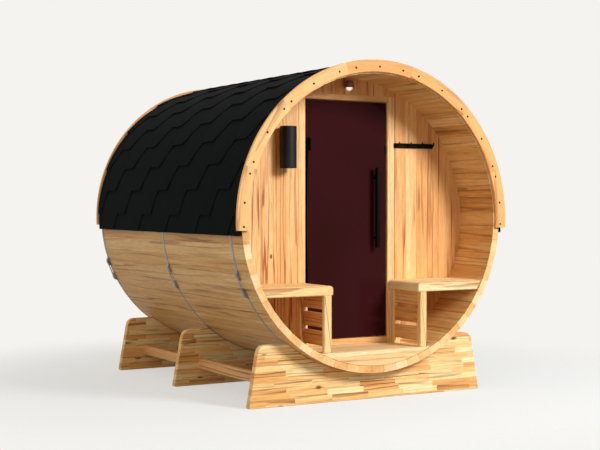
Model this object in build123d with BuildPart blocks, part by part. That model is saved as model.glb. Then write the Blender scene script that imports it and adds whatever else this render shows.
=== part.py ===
import math
import os

from build123d import *

os.makedirs("parts", exist_ok=True)

# The barrel lies along Y with its open porch towards -Y, and stands on the ground at Z = 0.
# All sizes are in millimetres.

# Barrel shell
barrel_length = 2164
barrel_radius = 898
barrel_underside = 163
stave_count = 64
staves_in_group = 8
stave_thickness = 42
stave_joint_gap = 0.3
tongue_root = 14
tongue_tip = 8
tongue_reach = 6
croze_depth = 10

# Clearances between curved faces that lie against each other, and round a loose board
seat_gap = 0.3
croze_gap = 1

# Arched end boards
arch_thickness = 20
arch_outside = 38
arch_inside = 34
arch_drop = 53
arch_joint_angles = (14.3, 43.7, 70.8)
arch_end_spare = 1
arch_board_gap = 0.8

# Steel hoops
hoop_width = 18
hoop_thickness = 1.5
hoop_from_front = 163
hoop_middle = 23
hoop_from_rear = 39
hoop_gap_angle = 113.7
hoop_gap_half_angle = 3.1
ear_height = 15
ear_thickness = 3
ear_root = 6
bolt_radius = 4
bolt_sides = 8
bolt_hole_gap = 0.3
bolt_overhang = 14
nut_width = 13
nut_thickness = 7
nut_ear_gap = 1

# Shingled roof, in strips that run along the barrel
roof_edge_angle = 95.2
course_count = 22
courses_each_side = 7
course_butt = 21
course_head = 13
course_gap = 0.6

# Cradles and their stretchers
cradle_thickness = 40
cradle_from_front = 106
cradle_middle = 34
cradle_from_rear = 144
cradle_bottom_inset = 89
cradle_top_inset = 153
cradle_height = 357
cradle_corner_radius = 50
cradle_tip_bevel = 8
stretcher_width = 40
stretcher_height = 62
stretcher_bottom = 105
stretcher_inset = 258
stretcher_bevel = 3

# End walls, floors and porch
porch_depth = 358
wall_thickness = 42
rear_overhang = 100
floor_rise = 133
floor_thickness = 28
porch_lip = 22
porch_front_board_thickness = 26

# Doorway
opening_width = 590
sill_height = 37
header_height = 175
jamb_width = 50
head_height = 34
frame_joint_gap = 0.4
stop_reach = 14
stop_gap = 6.5
glass_recess = 12

# Door leaf
glass_thickness = 8
glass_gap = 5.5
glass_corner_radius = 6
hinge_below_top = 271
hinge_plate_thickness = 3
hinge_plate_height = 80
hinge_plate_depth = 22
hinge_clamp_height = 57
hinge_clamp_reach = 32
hinge_leaf_thickness = 4
hinge_axis_from_jamb = 11
hinge_axis_from_glass = 6
knuckle_width = 8
knuckle_gap = 1
pin_radius = 2
pin_gap = 0.3
clamp_web = 12
clamp_rear_start = 8
clamp_glass_gap = 0.5
handle_radius = 14
handle_length = 492
handle_above_axis = 70
handle_x = 205
handle_standoff = 40
handle_post_radius = 7
handle_post_sides = 8
handle_post_inset = 60
handle_cap_radius = 11
handle_cap_thickness = 4
catch_width = 11
catch_height = 44
catch_thickness = 3
catch_below_top = 295

# Benches
bench_inside = 308
bench_front = 30
seat_above_floor = 388
seat_thickness = 56
seat_nose = 10
seat_nose_radius = 25
leg_width = 52
front_leg_depth = 30
rear_leg_depth = 50
slat_count = 3
slat_height = 85
slat_gap = 21
slat_thickness = 18
slat_set_back = 8
leg_bevel = 2

# Wall lamp, porch light and coat rack
lamp_radius = 49
lamp_height = 246
lamp_x = -446
lamp_above_axis = 427
lamp_standoff = 6
lamp_plate_width = 60
lamp_plate_height = 120
lamp_plate_thickness = 5
lamp_block_width = 30
lamp_block_height = 60
light_x = -8
light_below_barrel_top = 91
light_height = 63
light_cap_radius = 28
light_shoulder = 12
light_shoulder_angle = 45
light_globe_radius = 22
light_globe_waist = 18
light_globe_drop = 12
light_globe_foot = 9
light_axis_out = 34
light_neck_width = 22
light_sides = 10
rack_x = 487
rack_above_axis = 456
rack_length = 294
rack_height = 30
rack_thickness = 8
hook_count = 4
hook_pitch = 86
hook_reach = 32
hook_rise = 22
hook_wire_radius = 4
hook_wire_sides = 6

# Worked-out sizes
axis_height = barrel_underside + barrel_radius
arch_outer_radius = barrel_radius + arch_outside
arch_inner_radius = barrel_radius - arch_inside
hoop_places = (-barrel_length / 2 + hoop_from_front, hoop_middle, barrel_length / 2 - hoop_from_rear)
cradle_places = (-barrel_length / 2 + cradle_from_front, cradle_middle, barrel_length / 2 - cradle_from_rear)
cradle_bottom_half_width = barrel_radius - cradle_bottom_inset
cradle_top_half_width = barrel_radius - cradle_top_inset
stretcher_outside = barrel_radius - stretcher_inset
floor_height = barrel_underside + floor_rise
stave_length = barrel_length - 2 * arch_thickness
shell_end = stave_length / 2
stave_half_angle = math.pi / stave_count
inner_radius = barrel_radius - stave_thickness
corner_radius = barrel_radius / math.cos(stave_half_angle)
lining_radius = inner_radius - seat_gap
croze_radius = inner_radius + croze_depth
wall_radius = croze_radius - croze_gap
hoop_inner_flat = barrel_radius + seat_gap
hoop_outer_flat = hoop_inner_flat + hoop_thickness
hoop_outer_radius = hoop_outer_flat / math.cos(stave_half_angle)
roof_inner_radius = hoop_outer_radius + seat_gap
front_wall_face = -barrel_length / 2 + porch_depth
front_wall_back = front_wall_face + wall_thickness
back_wall_face = shell_end - rear_overhang
back_wall_front = back_wall_face - wall_thickness
opening_half = opening_width / 2
opening_bottom = floor_height + sill_height
opening_top = axis_height + barrel_radius - header_height
opening_height = opening_top - opening_bottom
frame_half = opening_half + jamb_width
frame_top = opening_top + head_height
glass_front = front_wall_face + glass_recess
glass_back = glass_front + glass_thickness
stop_face = glass_back + stop_gap
hinge_x = -opening_half + hinge_axis_from_jamb
hinge_y = glass_front - hinge_axis_from_glass
hinge_heights = (opening_top - hinge_below_top, opening_bottom + hinge_below_top)
handle_middle = axis_height + handle_above_axis
catch_middle = opening_top - catch_below_top
lamp_middle = axis_height + lamp_above_axis
light_middle = axis_height + barrel_radius - light_below_barrel_top
rack_middle = axis_height + rack_above_axis
seat_height = floor_height + seat_above_floor
bench_front_face = -barrel_length / 2 + bench_front
seat_underside = seat_height - seat_thickness


def upright(y, z=0):
    """Plane that faces the porch, with its X to the right, its Y upwards and its origin at y and z."""
    return Plane(origin=(0, y, z), x_dir=(1, 0, 0), z_dir=(0, -1, 0))


def across(y):
    """Upright plane centred on the barrel's axis."""
    return upright(y, axis_height)


def at_angle(radius, degrees):
    """Point on an upright plane, at a radius from its origin and an angle clockwise from straight up."""
    turn = math.radians(degrees)
    return (radius * math.sin(turn), radius * math.cos(turn))


def write(part, label):
    """Labels a finished piece and writes it to its own file."""
    part.label = label
    export_step(part, f"parts/{label}.step")


def ring_slice(inner, outer, start, end):
    """Face between two radii and two angles, drawn clockwise from straight up."""
    middle = (start + end) / 2
    with BuildSketch() as band:
        with BuildLine():
            ThreePointArc(at_angle(outer, start), at_angle(outer, middle), at_angle(outer, end))
            Line(at_angle(outer, end), at_angle(inner, end))
            ThreePointArc(at_angle(inner, end), at_angle(inner, middle), at_angle(inner, start))
            Line(at_angle(inner, start), at_angle(outer, start))
        make_face()
    return band.sketch


def stave_plane(index):
    """Plane across one stave at the rear end, with its Y pointing out from the barrel's axis."""
    turn = 2 * stave_half_angle * index
    along = (math.cos(turn), 0, -math.sin(turn))
    return Plane(origin=(0, shell_end, axis_height), x_dir=along, z_dir=(0, -1, 0))


def flank_point(radius, reach, side):
    """Point on a stave's flank at a radius, pushed clockwise by a reach square to the flank."""
    turn = side * stave_half_angle
    return (
        radius * math.sin(turn) + reach * math.cos(turn),
        radius * math.cos(turn) - reach * math.sin(turn),
    )


def stave_section():
    """Section of one stave: flat faces, a tapered tongue on one flank and its groove on the other."""
    trim = stave_joint_gap / 2
    middle = (barrel_radius + inner_radius) / 2
    with BuildSketch() as section:
        with BuildLine():
            Polyline(
                flank_point(inner_radius / math.cos(stave_half_angle), -trim, 1),
                flank_point(middle - tongue_root / 2 + trim, -trim, 1),
                flank_point(middle - tongue_tip / 2 + trim, tongue_reach - trim, 1),
                flank_point(middle + tongue_tip / 2 - trim, tongue_reach - trim, 1),
                flank_point(middle + tongue_root / 2 - trim, -trim, 1),
                flank_point(corner_radius, -trim, 1),
                flank_point(corner_radius, trim, -1),
                flank_point(middle + tongue_root / 2 + trim, trim, -1),
                flank_point(middle + tongue_tip / 2 + trim, tongue_reach + trim, -1),
                flank_point(middle - tongue_tip / 2 - trim, tongue_reach + trim, -1),
                flank_point(middle - tongue_root / 2 - trim, trim, -1),
                flank_point(inner_radius / math.cos(stave_half_angle), trim, -1),
                close=True,
            )
        make_face()
    return section.sketch


# Staves, in groups that go round the barrel from the bottom, each with a groove for both end walls
stave_face = stave_section()
half_step = math.degrees(stave_half_angle)
for group in range(stave_count // staves_in_group):
    first = stave_count // 2 + group * staves_in_group
    with BuildPart() as staves:
        for index in range(first, first + staves_in_group):
            with BuildSketch(stave_plane(index)):
                add(stave_face)
            extrude(amount=stave_length)
        for wall_back in (front_wall_back, back_wall_face):
            with BuildSketch(across(wall_back + croze_gap / 2)):
                RegularPolygon(croze_radius, stave_count, major_radius=False, rotation=half_step)
            extrude(amount=wall_thickness + croze_gap, mode=Mode.SUBTRACT)
    write(staves.part, f"staves_{group + 1}")


def arch(front, label):
    """Row of boards sawn to a curve, from a level end below the axis over the top to the other."""
    half_gap = math.degrees(arch_board_gap / 2 / arch_inner_radius)
    end = 90 + math.degrees(math.asin(arch_drop / arch_inner_radius)) + arch_end_spare
    edges = [-end, *(-angle for angle in reversed(arch_joint_angles)), *arch_joint_angles, end]
    with BuildPart() as boards:
        with BuildSketch(across(front + arch_thickness)):
            for start, stop in zip(edges[:-1], edges[1:]):
                add(ring_slice(arch_inner_radius, arch_outer_radius, start + half_gap, stop - half_gap))
            with Locations((0, -arch_drop - arch_outer_radius)):
                Rectangle(2 * barrel_length, 2 * arch_outer_radius, mode=Mode.SUBTRACT)
        extrude(amount=arch_thickness)
    write(boards.part, label)


arch(-barrel_length / 2, "front_arch")
arch(shell_end, "rear_arch")


def on_flats(flat_radius, degrees):
    """Point at an angle on the many-sided ring that follows the staves' flat faces."""
    step = math.degrees(2 * stave_half_angle)
    off_centre = math.radians(degrees - step * round(degrees / step))
    return at_angle(flat_radius / math.cos(off_centre), degrees)


def hoop(middle, label):
    """Steel strap bent over every stave, open on the left between two ears that stand out from it."""
    start = -hoop_gap_angle + hoop_gap_half_angle
    end = 360 - hoop_gap_angle - hoop_gap_half_angle
    step = math.degrees(2 * stave_half_angle)
    bends = [step * (index + 0.5) for index in range(math.ceil(start / step - 0.5), math.ceil(end / step - 0.5))]
    path = [start, *bends, end]
    with BuildPart() as strap:
        with BuildSketch(across(middle + hoop_width / 2)):
            with BuildLine():
                Polyline(
                    *[on_flats(hoop_outer_flat, angle) for angle in path],
                    *[on_flats(hoop_inner_flat, angle) for angle in reversed(path)],
                    close=True,
                )
            make_face()
            for side, angle in ((1, start), (-1, end)):
                turn = math.radians(angle)
                along = (math.cos(turn) * side, -math.sin(turn) * side)
                foot = on_flats(hoop_inner_flat, angle)
                tip = at_angle(hoop_outer_radius + ear_height, angle)
                with BuildLine():
                    Polyline(
                        foot,
                        tip,
                        (tip[0] + along[0] * ear_thickness, tip[1] + along[1] * ear_thickness),
                        (foot[0] + along[0] * ear_thickness, foot[1] + along[1] * ear_thickness),
                        close=True,
                    )
                make_face()
        extrude(amount=hoop_width)
        with BuildSketch(bolt_plane(middle)):
            RegularPolygon(bolt_radius + bolt_hole_gap, bolt_sides)
        extrude(amount=bolt_half_length(), both=True, mode=Mode.SUBTRACT)
    write(strap.part, label)


def bolt_plane(middle):
    """Plane halfway between the ears of a hoop, square to its bolt."""
    radius = hoop_outer_radius + ear_height / 2 + ear_root / 2
    spot = at_angle(radius, -hoop_gap_angle)
    turn = math.radians(-hoop_gap_angle)
    along = (math.cos(turn), 0, -math.sin(turn))
    return Plane(origin=(spot[0], middle, spot[1] + axis_height), x_dir=(0, 1, 0), z_dir=along)


def ear_reach():
    """Distance along the bolt from its middle to the outside of an ear."""
    turn = math.radians(hoop_gap_half_angle)
    radius = hoop_outer_radius + ear_height / 2 + ear_root / 2
    return radius * math.tan(turn) + ear_thickness / math.cos(turn)


def bolt_half_length():
    """Half the length of the bolt, past both nuts."""
    return ear_reach() + nut_thickness + bolt_overhang


for middle, name in zip(hoop_places, ("front", "middle", "rear")):
    hoop(middle, f"hoop_{name}")

# Tightening bolts with their nuts, one to a hoop
with BuildPart() as bolts:
    for middle in hoop_places:
        centre = bolt_plane(middle)
        with BuildSketch(centre):
            RegularPolygon(bolt_radius, bolt_sides)
        extrude(amount=bolt_half_length(), both=True)
        for side in (1, -1):
            with BuildSketch(centre.offset(side * (ear_reach() + nut_thickness / 2 + nut_ear_gap))):
                RegularPolygon(nut_width / 2, 6, major_radius=False)
            extrude(amount=nut_thickness / 2, both=True)
write(bolts.part, "hoop_bolts")


def roof_courses(first, last, label):
    """Strips of shingle along the barrel, counted from the left edge, each thickest at its lower side."""
    step = 2 * roof_edge_angle / course_count
    half_gap = math.degrees(course_gap / 2 / roof_inner_radius)
    with BuildPart() as strips:
        for course in range(first, last):
            start = -roof_edge_angle + course * step + half_gap
            end = start + step - 2 * half_gap
            downhill_first = start + end < 0
            start_radius = roof_inner_radius + (course_butt if downhill_first else course_head)
            end_radius = roof_inner_radius + (course_head if downhill_first else course_butt)
            middle = (start + end) / 2
            with BuildSketch(across(shell_end)):
                with BuildLine():
                    ThreePointArc(
                        at_angle(roof_inner_radius, start),
                        at_angle(roof_inner_radius, middle),
                        at_angle(roof_inner_radius, end),
                    )
                    Line(at_angle(roof_inner_radius, end), at_angle(end_radius, end))
                    ThreePointArc(
                        at_angle(end_radius, end),
                        at_angle((start_radius + end_radius) / 2, middle),
                        at_angle(start_radius, start),
                    )
                    Line(at_angle(start_radius, start), at_angle(roof_inner_radius, start))
                make_face()
            extrude(amount=stave_length)
    write(strips.part, label)


roof_courses(0, courses_each_side, "roof_left")
roof_courses(courses_each_side, course_count - courses_each_side, "roof_top")
roof_courses(course_count - courses_each_side, course_count, "roof_right")


def cradle(front, label):
    """Wide foot board with a round seat for the barrel and rounded upper corners."""
    with BuildPart() as foot:
        with BuildSketch(upright(front + cradle_thickness)) as outline:
            with BuildLine():
                Polyline(
                    (-cradle_bottom_half_width, 0),
                    (cradle_bottom_half_width, 0),
                    (cradle_top_half_width, cradle_height),
                    (-cradle_top_half_width, cradle_height),
                    close=True,
                )
            make_face()
            fillet(outline.vertices().group_by(Axis.Y)[-1], cradle_corner_radius)
            chamfer(outline.vertices().group_by(Axis.Y)[0], cradle_tip_bevel)
            with Locations((0, axis_height)):
                Circle(corner_radius + seat_gap, mode=Mode.SUBTRACT)
        extrude(amount=cradle_thickness)
    write(foot.part, label)


for front, name in zip(cradle_places, ("front", "middle", "rear")):
    cradle(front, f"cradle_{name}")

# Stretchers between the cradles, two in line on each side
for side, name in ((-1, "left"), (1, "right")):
    with BuildPart() as beams:
        for start, end in zip(cradle_places[:-1], cradle_places[1:]):
            with BuildSketch(upright(end)):
                with Locations((side * (stretcher_outside - stretcher_width / 2),
                                stretcher_bottom + stretcher_height / 2)):
                    Rectangle(stretcher_width, stretcher_height)
            extrude(amount=end - start - cradle_thickness)
        chamfer(beams.edges().filter_by(Axis.Y), stretcher_bevel)
    write(beams.part, f"stretchers_{name}")


def wall_piece(back, left, right, bottom, top, label):
    """Part of a round end wall between two upright lines and two level ones."""
    with BuildPart() as panel:
        with BuildSketch(across(back)):
            Circle(wall_radius)
            with Locations(((left + right) / 2, (bottom + top) / 2 - axis_height)):
                Rectangle(right - left, top - bottom, mode=Mode.INTERSECT)
        extrude(amount=wall_thickness)
    write(panel.part, label)


wall_low = axis_height - barrel_radius
wall_high = axis_height + barrel_radius
wall_piece(front_wall_back, -barrel_radius, -frame_half, wall_low, wall_high, "front_wall_left")
wall_piece(front_wall_back, frame_half, barrel_radius, wall_low, wall_high, "front_wall_right")
wall_piece(front_wall_back, -frame_half, frame_half, frame_top, wall_high, "front_wall_header")
wall_piece(front_wall_back, -frame_half, frame_half, wall_low, floor_height, "front_wall_foot")
wall_piece(back_wall_face, -barrel_radius, barrel_radius, wall_low, wall_high, "back_wall")

# Door frame: two jambs with a head and a sill between them
with BuildPart() as frame:
    with BuildSketch(upright(front_wall_back)):
        for side in (-1, 1):
            with Locations((side * (opening_half + jamb_width / 2), (floor_height + frame_top) / 2)):
                Rectangle(jamb_width, frame_top - floor_height)
        for bottom, top in ((floor_height, opening_bottom), (opening_top, frame_top)):
            with Locations((0, (bottom + top) / 2)):
                Rectangle(opening_width - 2 * frame_joint_gap, top - bottom)
    extrude(amount=wall_thickness)
write(frame.part, "door_frame")

# Stop strips round the opening, behind the glass
with BuildPart() as stops:
    with BuildSketch(upright(front_wall_back)):
        for side in (-1, 1):
            with Locations((side * (opening_half - stop_reach / 2), (opening_bottom + opening_top) / 2)):
                Rectangle(stop_reach, opening_height)
        for height in (opening_bottom + stop_reach / 2, opening_top - stop_reach / 2):
            with Locations((0, height)):
                Rectangle(opening_width - 2 * stop_reach - 2 * frame_joint_gap, stop_reach)
    extrude(amount=front_wall_back - stop_face)
write(stops.part, "door_stops")


def floor(front, back, label):
    """Boarded floor as wide as the barrel is at that height."""
    with BuildPart() as boards:
        with BuildSketch(across(back)):
            Circle(lining_radius)
            with Locations((0, floor_height - floor_thickness / 2 - axis_height)):
                Rectangle(2 * barrel_radius, floor_thickness, mode=Mode.INTERSECT)
        extrude(amount=back - front)
    write(boards.part, label)


deck_front = -barrel_length / 2 + porch_lip
floor(deck_front, front_wall_face, "porch_deck")
floor(front_wall_back, back_wall_front, "cabin_floor")

# Board that closes the space under the porch deck
with BuildPart() as kick_board:
    with BuildSketch(across(deck_front + porch_front_board_thickness)):
        Circle(lining_radius)
        with Locations((0, floor_height - floor_thickness - axis_height - barrel_radius)):
            Rectangle(2 * barrel_radius, 2 * barrel_radius, mode=Mode.INTERSECT)
    extrude(amount=porch_front_board_thickness)
write(kick_board.part, "porch_front_board")


def bench(side, name):
    """Porch bench: a thick seat cut to the barrel, and a slatted side between two legs."""
    with BuildPart() as seat:
        with BuildSketch(across(front_wall_face)) as outline:
            Circle(lining_radius)
            left, right = sorted((side * (bench_inside - seat_nose), side * barrel_radius))
            with Locations(((left + right) / 2, seat_height - seat_thickness / 2 - axis_height)):
                Rectangle(right - left, seat_thickness, mode=Mode.INTERSECT)
            inner = outline.vertices().sort_by(Axis.X)[-2:] if side < 0 else outline.vertices().sort_by(Axis.X)[:2]
            fillet(inner.sort_by(Axis.Y)[-1], seat_nose_radius)
        extrude(amount=front_wall_face - bench_front_face)
    write(seat.part, f"bench_seat_{name}")

    slat_length = front_wall_face - bench_front_face - front_leg_depth - rear_leg_depth
    slat_back = front_wall_face - rear_leg_depth
    with BuildPart() as frame:
        for back, depth in ((bench_front_face + front_leg_depth, front_leg_depth),
                            (front_wall_face, rear_leg_depth)):
            with BuildSketch(upright(back)):
                with Locations((side * (bench_inside + leg_width / 2), (floor_height + seat_underside) / 2)):
                    Rectangle(leg_width, seat_underside - floor_height)
            extrude(amount=depth)
        chamfer(frame.edges().filter_by(Axis.Z), leg_bevel)
        for row in range(slat_count):
            top = seat_underside - row * (slat_height + slat_gap)
            with BuildSketch(upright(slat_back)):
                with Locations((side * (bench_inside + slat_set_back + slat_thickness / 2), top - slat_height / 2)):
                    Rectangle(slat_thickness, slat_height)
            extrude(amount=slat_length)
    write(frame.part, f"bench_side_{name}")


bench(-1, "left")
bench(1, "right")

# Glass leaf of the door, notched at its hinges
with BuildPart() as glass:
    with BuildSketch(upright(glass_back)) as pane:
        with Locations((0, (opening_bottom + opening_top) / 2)):
            RectangleRounded(opening_width - 2 * glass_gap, opening_height - 2 * glass_gap, glass_corner_radius)
        for height in hinge_heights:
            notch_end = hinge_x + clamp_web + clamp_glass_gap
            with Locations(((notch_end - opening_half) / 2, height)):
                Rectangle(notch_end + opening_half, hinge_clamp_height + 2 * clamp_glass_gap, mode=Mode.SUBTRACT)
    extrude(amount=glass_thickness)
write(glass.part, "door_glass")

# Hinge plates on the jamb, with their outer knuckles and pin
with BuildPart() as hinge_plates:
    for height in hinge_heights:
        bottom = height - hinge_plate_height / 2
        with BuildSketch(Plane.XY.offset(bottom)):
            with Locations((-opening_half + hinge_plate_thickness / 2, front_wall_face + hinge_plate_depth / 2)):
                Rectangle(hinge_plate_thickness, hinge_plate_depth)
        extrude(amount=hinge_plate_height)
        knuckle_height = (hinge_plate_height - hinge_clamp_height) / 2 - knuckle_gap
        for start in (bottom, height + hinge_plate_height / 2 - knuckle_height):
            with BuildSketch(Plane.XY.offset(start)):
                reach = hinge_x + opening_half - hinge_plate_thickness + knuckle_width / 2
                with Locations((hinge_x + (knuckle_width - reach) / 2, hinge_y)):
                    Rectangle(reach, knuckle_width)
            extrude(amount=knuckle_height)
        with BuildSketch(Plane.XY.offset(bottom)):
            with Locations((hinge_x, hinge_y)):
                Circle(pin_radius)
        extrude(amount=hinge_plate_height)
write(hinge_plates.part, "hinge_plates")

# Hinge clamps on the glass, with the middle knuckle
with BuildPart() as clamps:
    for height in hinge_heights:
        bottom = height - hinge_clamp_height / 2
        with BuildSketch(Plane.XY.offset(bottom)):
            with Locations((hinge_x, hinge_y)):
                Rectangle(knuckle_width, knuckle_width)
            front_leaf = glass_front - hinge_leaf_thickness / 2
            with Locations((hinge_x + hinge_clamp_reach / 2, front_leaf)):
                Rectangle(hinge_clamp_reach, hinge_leaf_thickness)
            with Locations((hinge_x + clamp_web / 2, (glass_front + glass_back) / 2)):
                Rectangle(clamp_web, glass_thickness)
            with Locations((hinge_x + (clamp_rear_start + hinge_clamp_reach) / 2,
                            glass_back + hinge_leaf_thickness / 2)):
                Rectangle(hinge_clamp_reach - clamp_rear_start, hinge_leaf_thickness)
            with Locations((hinge_x, hinge_y)):
                Circle(pin_radius + pin_gap, mode=Mode.SUBTRACT)
        extrude(amount=hinge_clamp_height)
write(clamps.part, "hinge_clamps")

# Bar handle on two posts, with caps on the inside of the glass
with BuildPart() as handle:
    bar_y = glass_front - handle_standoff
    with BuildSketch(Plane.XY.offset(handle_middle - handle_length / 2)):
        with Locations((handle_x, bar_y)):
            Circle(handle_radius)
    extrude(amount=handle_length)
    for way in (-1, 1):
        height = handle_middle + way * (handle_length / 2 - handle_post_inset)
        with BuildSketch(upright(glass_front)):
            with Locations((handle_x, height)):
                RegularPolygon(handle_post_radius, handle_post_sides)
        extrude(amount=handle_standoff)
        with BuildSketch(upright(glass_back + handle_cap_thickness)):
            with Locations((handle_x, height)):
                RegularPolygon(handle_cap_radius, handle_post_sides)
        extrude(amount=handle_cap_thickness)
write(handle.part, "door_handle")

# Catch plate on the free edge of the glass
with BuildPart() as catch:
    with BuildSketch(upright(glass_front)):
        with Locations((opening_half - glass_gap - catch_width / 2, catch_middle)):
            Rectangle(catch_width, catch_height)
    extrude(amount=catch_thickness)
write(catch.part, "door_catch")

# Wall lamp: a round body held off the wall by a block on a plate
with BuildPart() as lamp:
    lamp_y = front_wall_face - lamp_plate_thickness - lamp_standoff - lamp_radius
    with BuildSketch(Plane.XY.offset(lamp_middle - lamp_height / 2)):
        with Locations((lamp_x, lamp_y)):
            Circle(lamp_radius)
    extrude(amount=lamp_height)
    with BuildSketch(upright(front_wall_face)):
        with Locations((lamp_x, lamp_middle)):
            Rectangle(lamp_plate_width, lamp_plate_height)
    extrude(amount=lamp_plate_thickness)
    with BuildSketch(upright(front_wall_face)):
        with Locations((lamp_x, lamp_middle)):
            Rectangle(lamp_block_width, lamp_block_height)
    extrude(amount=lamp_plate_thickness + lamp_standoff + lamp_radius / 2)
write(lamp.part, "wall_lamp")

# Porch light: a cap with sloping shoulders over a tapered globe, held off the wall by a short block
with BuildPart() as porch_light:
    light_y = front_wall_face - light_axis_out
    rim = light_middle + light_globe_radius - light_height / 2
    crown = light_middle + light_height / 2
    cap_side = crown - light_shoulder - rim
    waist_spread = math.atan2(light_globe_radius - light_globe_waist, light_globe_drop)
    foot_rise = light_globe_radius - light_globe_drop
    foot_spread = math.atan2(light_globe_waist - light_globe_foot, foot_rise)
    stages = (
        (rim, light_cap_radius, cap_side, 0),
        (crown - light_shoulder, light_cap_radius, light_shoulder, light_shoulder_angle),
        (rim, light_globe_radius, -light_globe_drop, math.degrees(waist_spread)),
        (rim - light_globe_drop, light_globe_waist, -foot_rise, math.degrees(foot_spread)),
    )
    for height, radius, rise, spread in stages:
        with BuildSketch(Plane.XY.offset(height)):
            with Locations((light_x, light_y)):
                RegularPolygon(radius, light_sides, major_radius=False)
        extrude(amount=rise, taper=spread)
    with BuildSketch(upright(front_wall_face)):
        with Locations((light_x, (rim + crown) / 2)):
            Rectangle(light_neck_width, light_neck_width)
    extrude(amount=light_axis_out)
write(porch_light.part, "porch_light")

# Coat rack: a flat bar with hooks bent up from it
with BuildPart() as rack:
    with BuildSketch(upright(front_wall_face)):
        with Locations((rack_x, rack_middle)):
            Rectangle(rack_length, rack_height)
    extrude(amount=rack_thickness)
    for index in range(hook_count):
        hook_x = rack_x + (index - (hook_count - 1) / 2) * hook_pitch
        with BuildSketch(upright(front_wall_face)):
            with Locations((hook_x, rack_middle)):
                RegularPolygon(hook_wire_radius, hook_wire_sides)
        extrude(amount=rack_thickness + hook_reach)
        with BuildSketch(Plane.XY.offset(rack_middle - hook_wire_radius)):
            with Locations((hook_x, front_wall_face - rack_thickness - hook_reach)):
                RegularPolygon(hook_wire_radius, hook_wire_sides)
        extrude(amount=hook_rise + hook_wire_radius)
write(rack.part, "coat_rack")
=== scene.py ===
"""Dresses the barrel sauna: boards, shingles, glass, fittings and the studio round them.

Lengths are metres in the frame of the CAD model: +Z up, the porch towards -Y, the barrel along Y.
Angles round the barrel are degrees, clockwise from straight up, seen from the porch.
"""
import functools
import logging
import math
from dataclasses import dataclass, field
from enum import Enum

import bpy
import numpy as np
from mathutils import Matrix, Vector


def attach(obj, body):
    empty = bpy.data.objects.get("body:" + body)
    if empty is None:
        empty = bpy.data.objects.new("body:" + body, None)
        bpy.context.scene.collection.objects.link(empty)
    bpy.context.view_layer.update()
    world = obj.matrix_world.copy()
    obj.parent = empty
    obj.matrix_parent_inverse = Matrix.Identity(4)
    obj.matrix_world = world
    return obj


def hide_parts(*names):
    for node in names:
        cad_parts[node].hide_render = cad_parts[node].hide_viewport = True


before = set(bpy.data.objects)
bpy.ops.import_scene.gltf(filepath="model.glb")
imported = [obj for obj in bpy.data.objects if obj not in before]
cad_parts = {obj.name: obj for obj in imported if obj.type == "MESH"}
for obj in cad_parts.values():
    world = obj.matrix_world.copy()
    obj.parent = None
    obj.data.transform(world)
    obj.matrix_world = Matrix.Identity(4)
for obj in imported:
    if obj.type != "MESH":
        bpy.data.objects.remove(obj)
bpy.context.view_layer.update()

log = logging.getLogger("sauna")
logging.basicConfig(level=logging.INFO, format="%(message)s")

MM = 0.001
CABIN = "cabin"
DOOR = "door"
WAVE_LENGTH = 0.314  # Blender's wave pattern repeats after this length at scale 1.
UP = (0.0, 0.0, 1.0)

Point = tuple[float, float, float]
Tree = bpy.types.NodeTree
Socket = bpy.types.NodeSocket


class Run(Enum):
    """The axis that a board's grain or a turned shape follows."""

    ALONG_X = 0
    ALONG_Y = 1
    ALONG_Z = 2

    def spin(self) -> Point:
        """Turn that lays this axis on Y, round which the growth rings are drawn."""
        return ((0.0, 0.0, math.pi / 2), (0.0, 0.0, 0.0), (math.pi / 2, 0.0, 0.0))[self.value]

    def scale(self, share: float) -> list[float]:
        """Scale that draws a pattern out along this axis."""
        return [share if run is self else 1.0 for run in Run]


@dataclass(frozen=True)
class Barrel:
    """Sizes that the sub-assemblies share."""

    radius: float = 898 * MM
    thickness: float = 42 * MM
    axis_height: float = 1061 * MM
    shell_end: float = 1062 * MM
    wall_face: float = -724 * MM
    wall_back: float = -682 * MM
    rear_face: float = 962 * MM
    rear_front: float = 920 * MM
    floor_height: float = 296 * MM
    lining: float = 855.7 * MM

    def half_width(self, height: float, radius: float) -> float:
        """Half the width of a circle round the axis at a height: the root of r^2 - (z - axis)^2."""
        return math.sqrt(max(radius ** 2 - (height - self.axis_height) ** 2, 0.0))


BARREL = Barrel()


# Shader helpers


def linear(code: str, alpha: float = 1.0) -> tuple[float, float, float, float]:
    """Turns an sRGB hex colour into Blender's linear values.

    Args:
        code: colour such as "#c08040".
        alpha: fourth value.

    Returns:
        Linear red, green, blue and the alpha.
    """
    shares = [int(code[i:i + 2], 16) / 255 for i in (1, 3, 5)]
    parts = [c / 12.92 if c <= 0.04045 else ((c + 0.055) / 1.055) ** 2.4 for c in shares]
    return (parts[0], parts[1], parts[2], alpha)


def node(tree: Tree, kind: str, inputs: dict | tuple = (), out: str | int = 0, stops: tuple = (),
         **settings: object) -> Socket | None:
    """Adds one node with its settings, colour stops, values and links.

    Args:
        tree: node tree to add to.
        kind: node type without its "ShaderNode" prefix.
        inputs: values or other nodes' output sockets, in the sockets' order or by socket name or number.
        out: name or number of the output that is wanted.
        stops: places from 0 to 1 on a colour ramp, each with a hex colour or a grey value.
        settings: properties of the node.

    Returns:
        The wanted output socket, or None where the node has no outputs.
    """
    made = tree.nodes.new("ShaderNode" + kind)
    for name, value in settings.items():
        setattr(made, name, value)
    named = inputs if isinstance(inputs, dict) else dict(enumerate(inputs))
    for key, value in named.items():
        if isinstance(value, Socket):
            tree.links.new(value, made.inputs[key])
        else:
            made.inputs[key].default_value = value
    if stops:
        elements = made.color_ramp.elements
        while len(elements) < len(stops):
            elements.new(0.5)
        for element, (place, value) in zip(elements, stops):
            element.position = place
            element.color = linear(value) if isinstance(value, str) else (value, value, value, 1.0)
    return made.outputs[out] if len(made.outputs) else None


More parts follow.
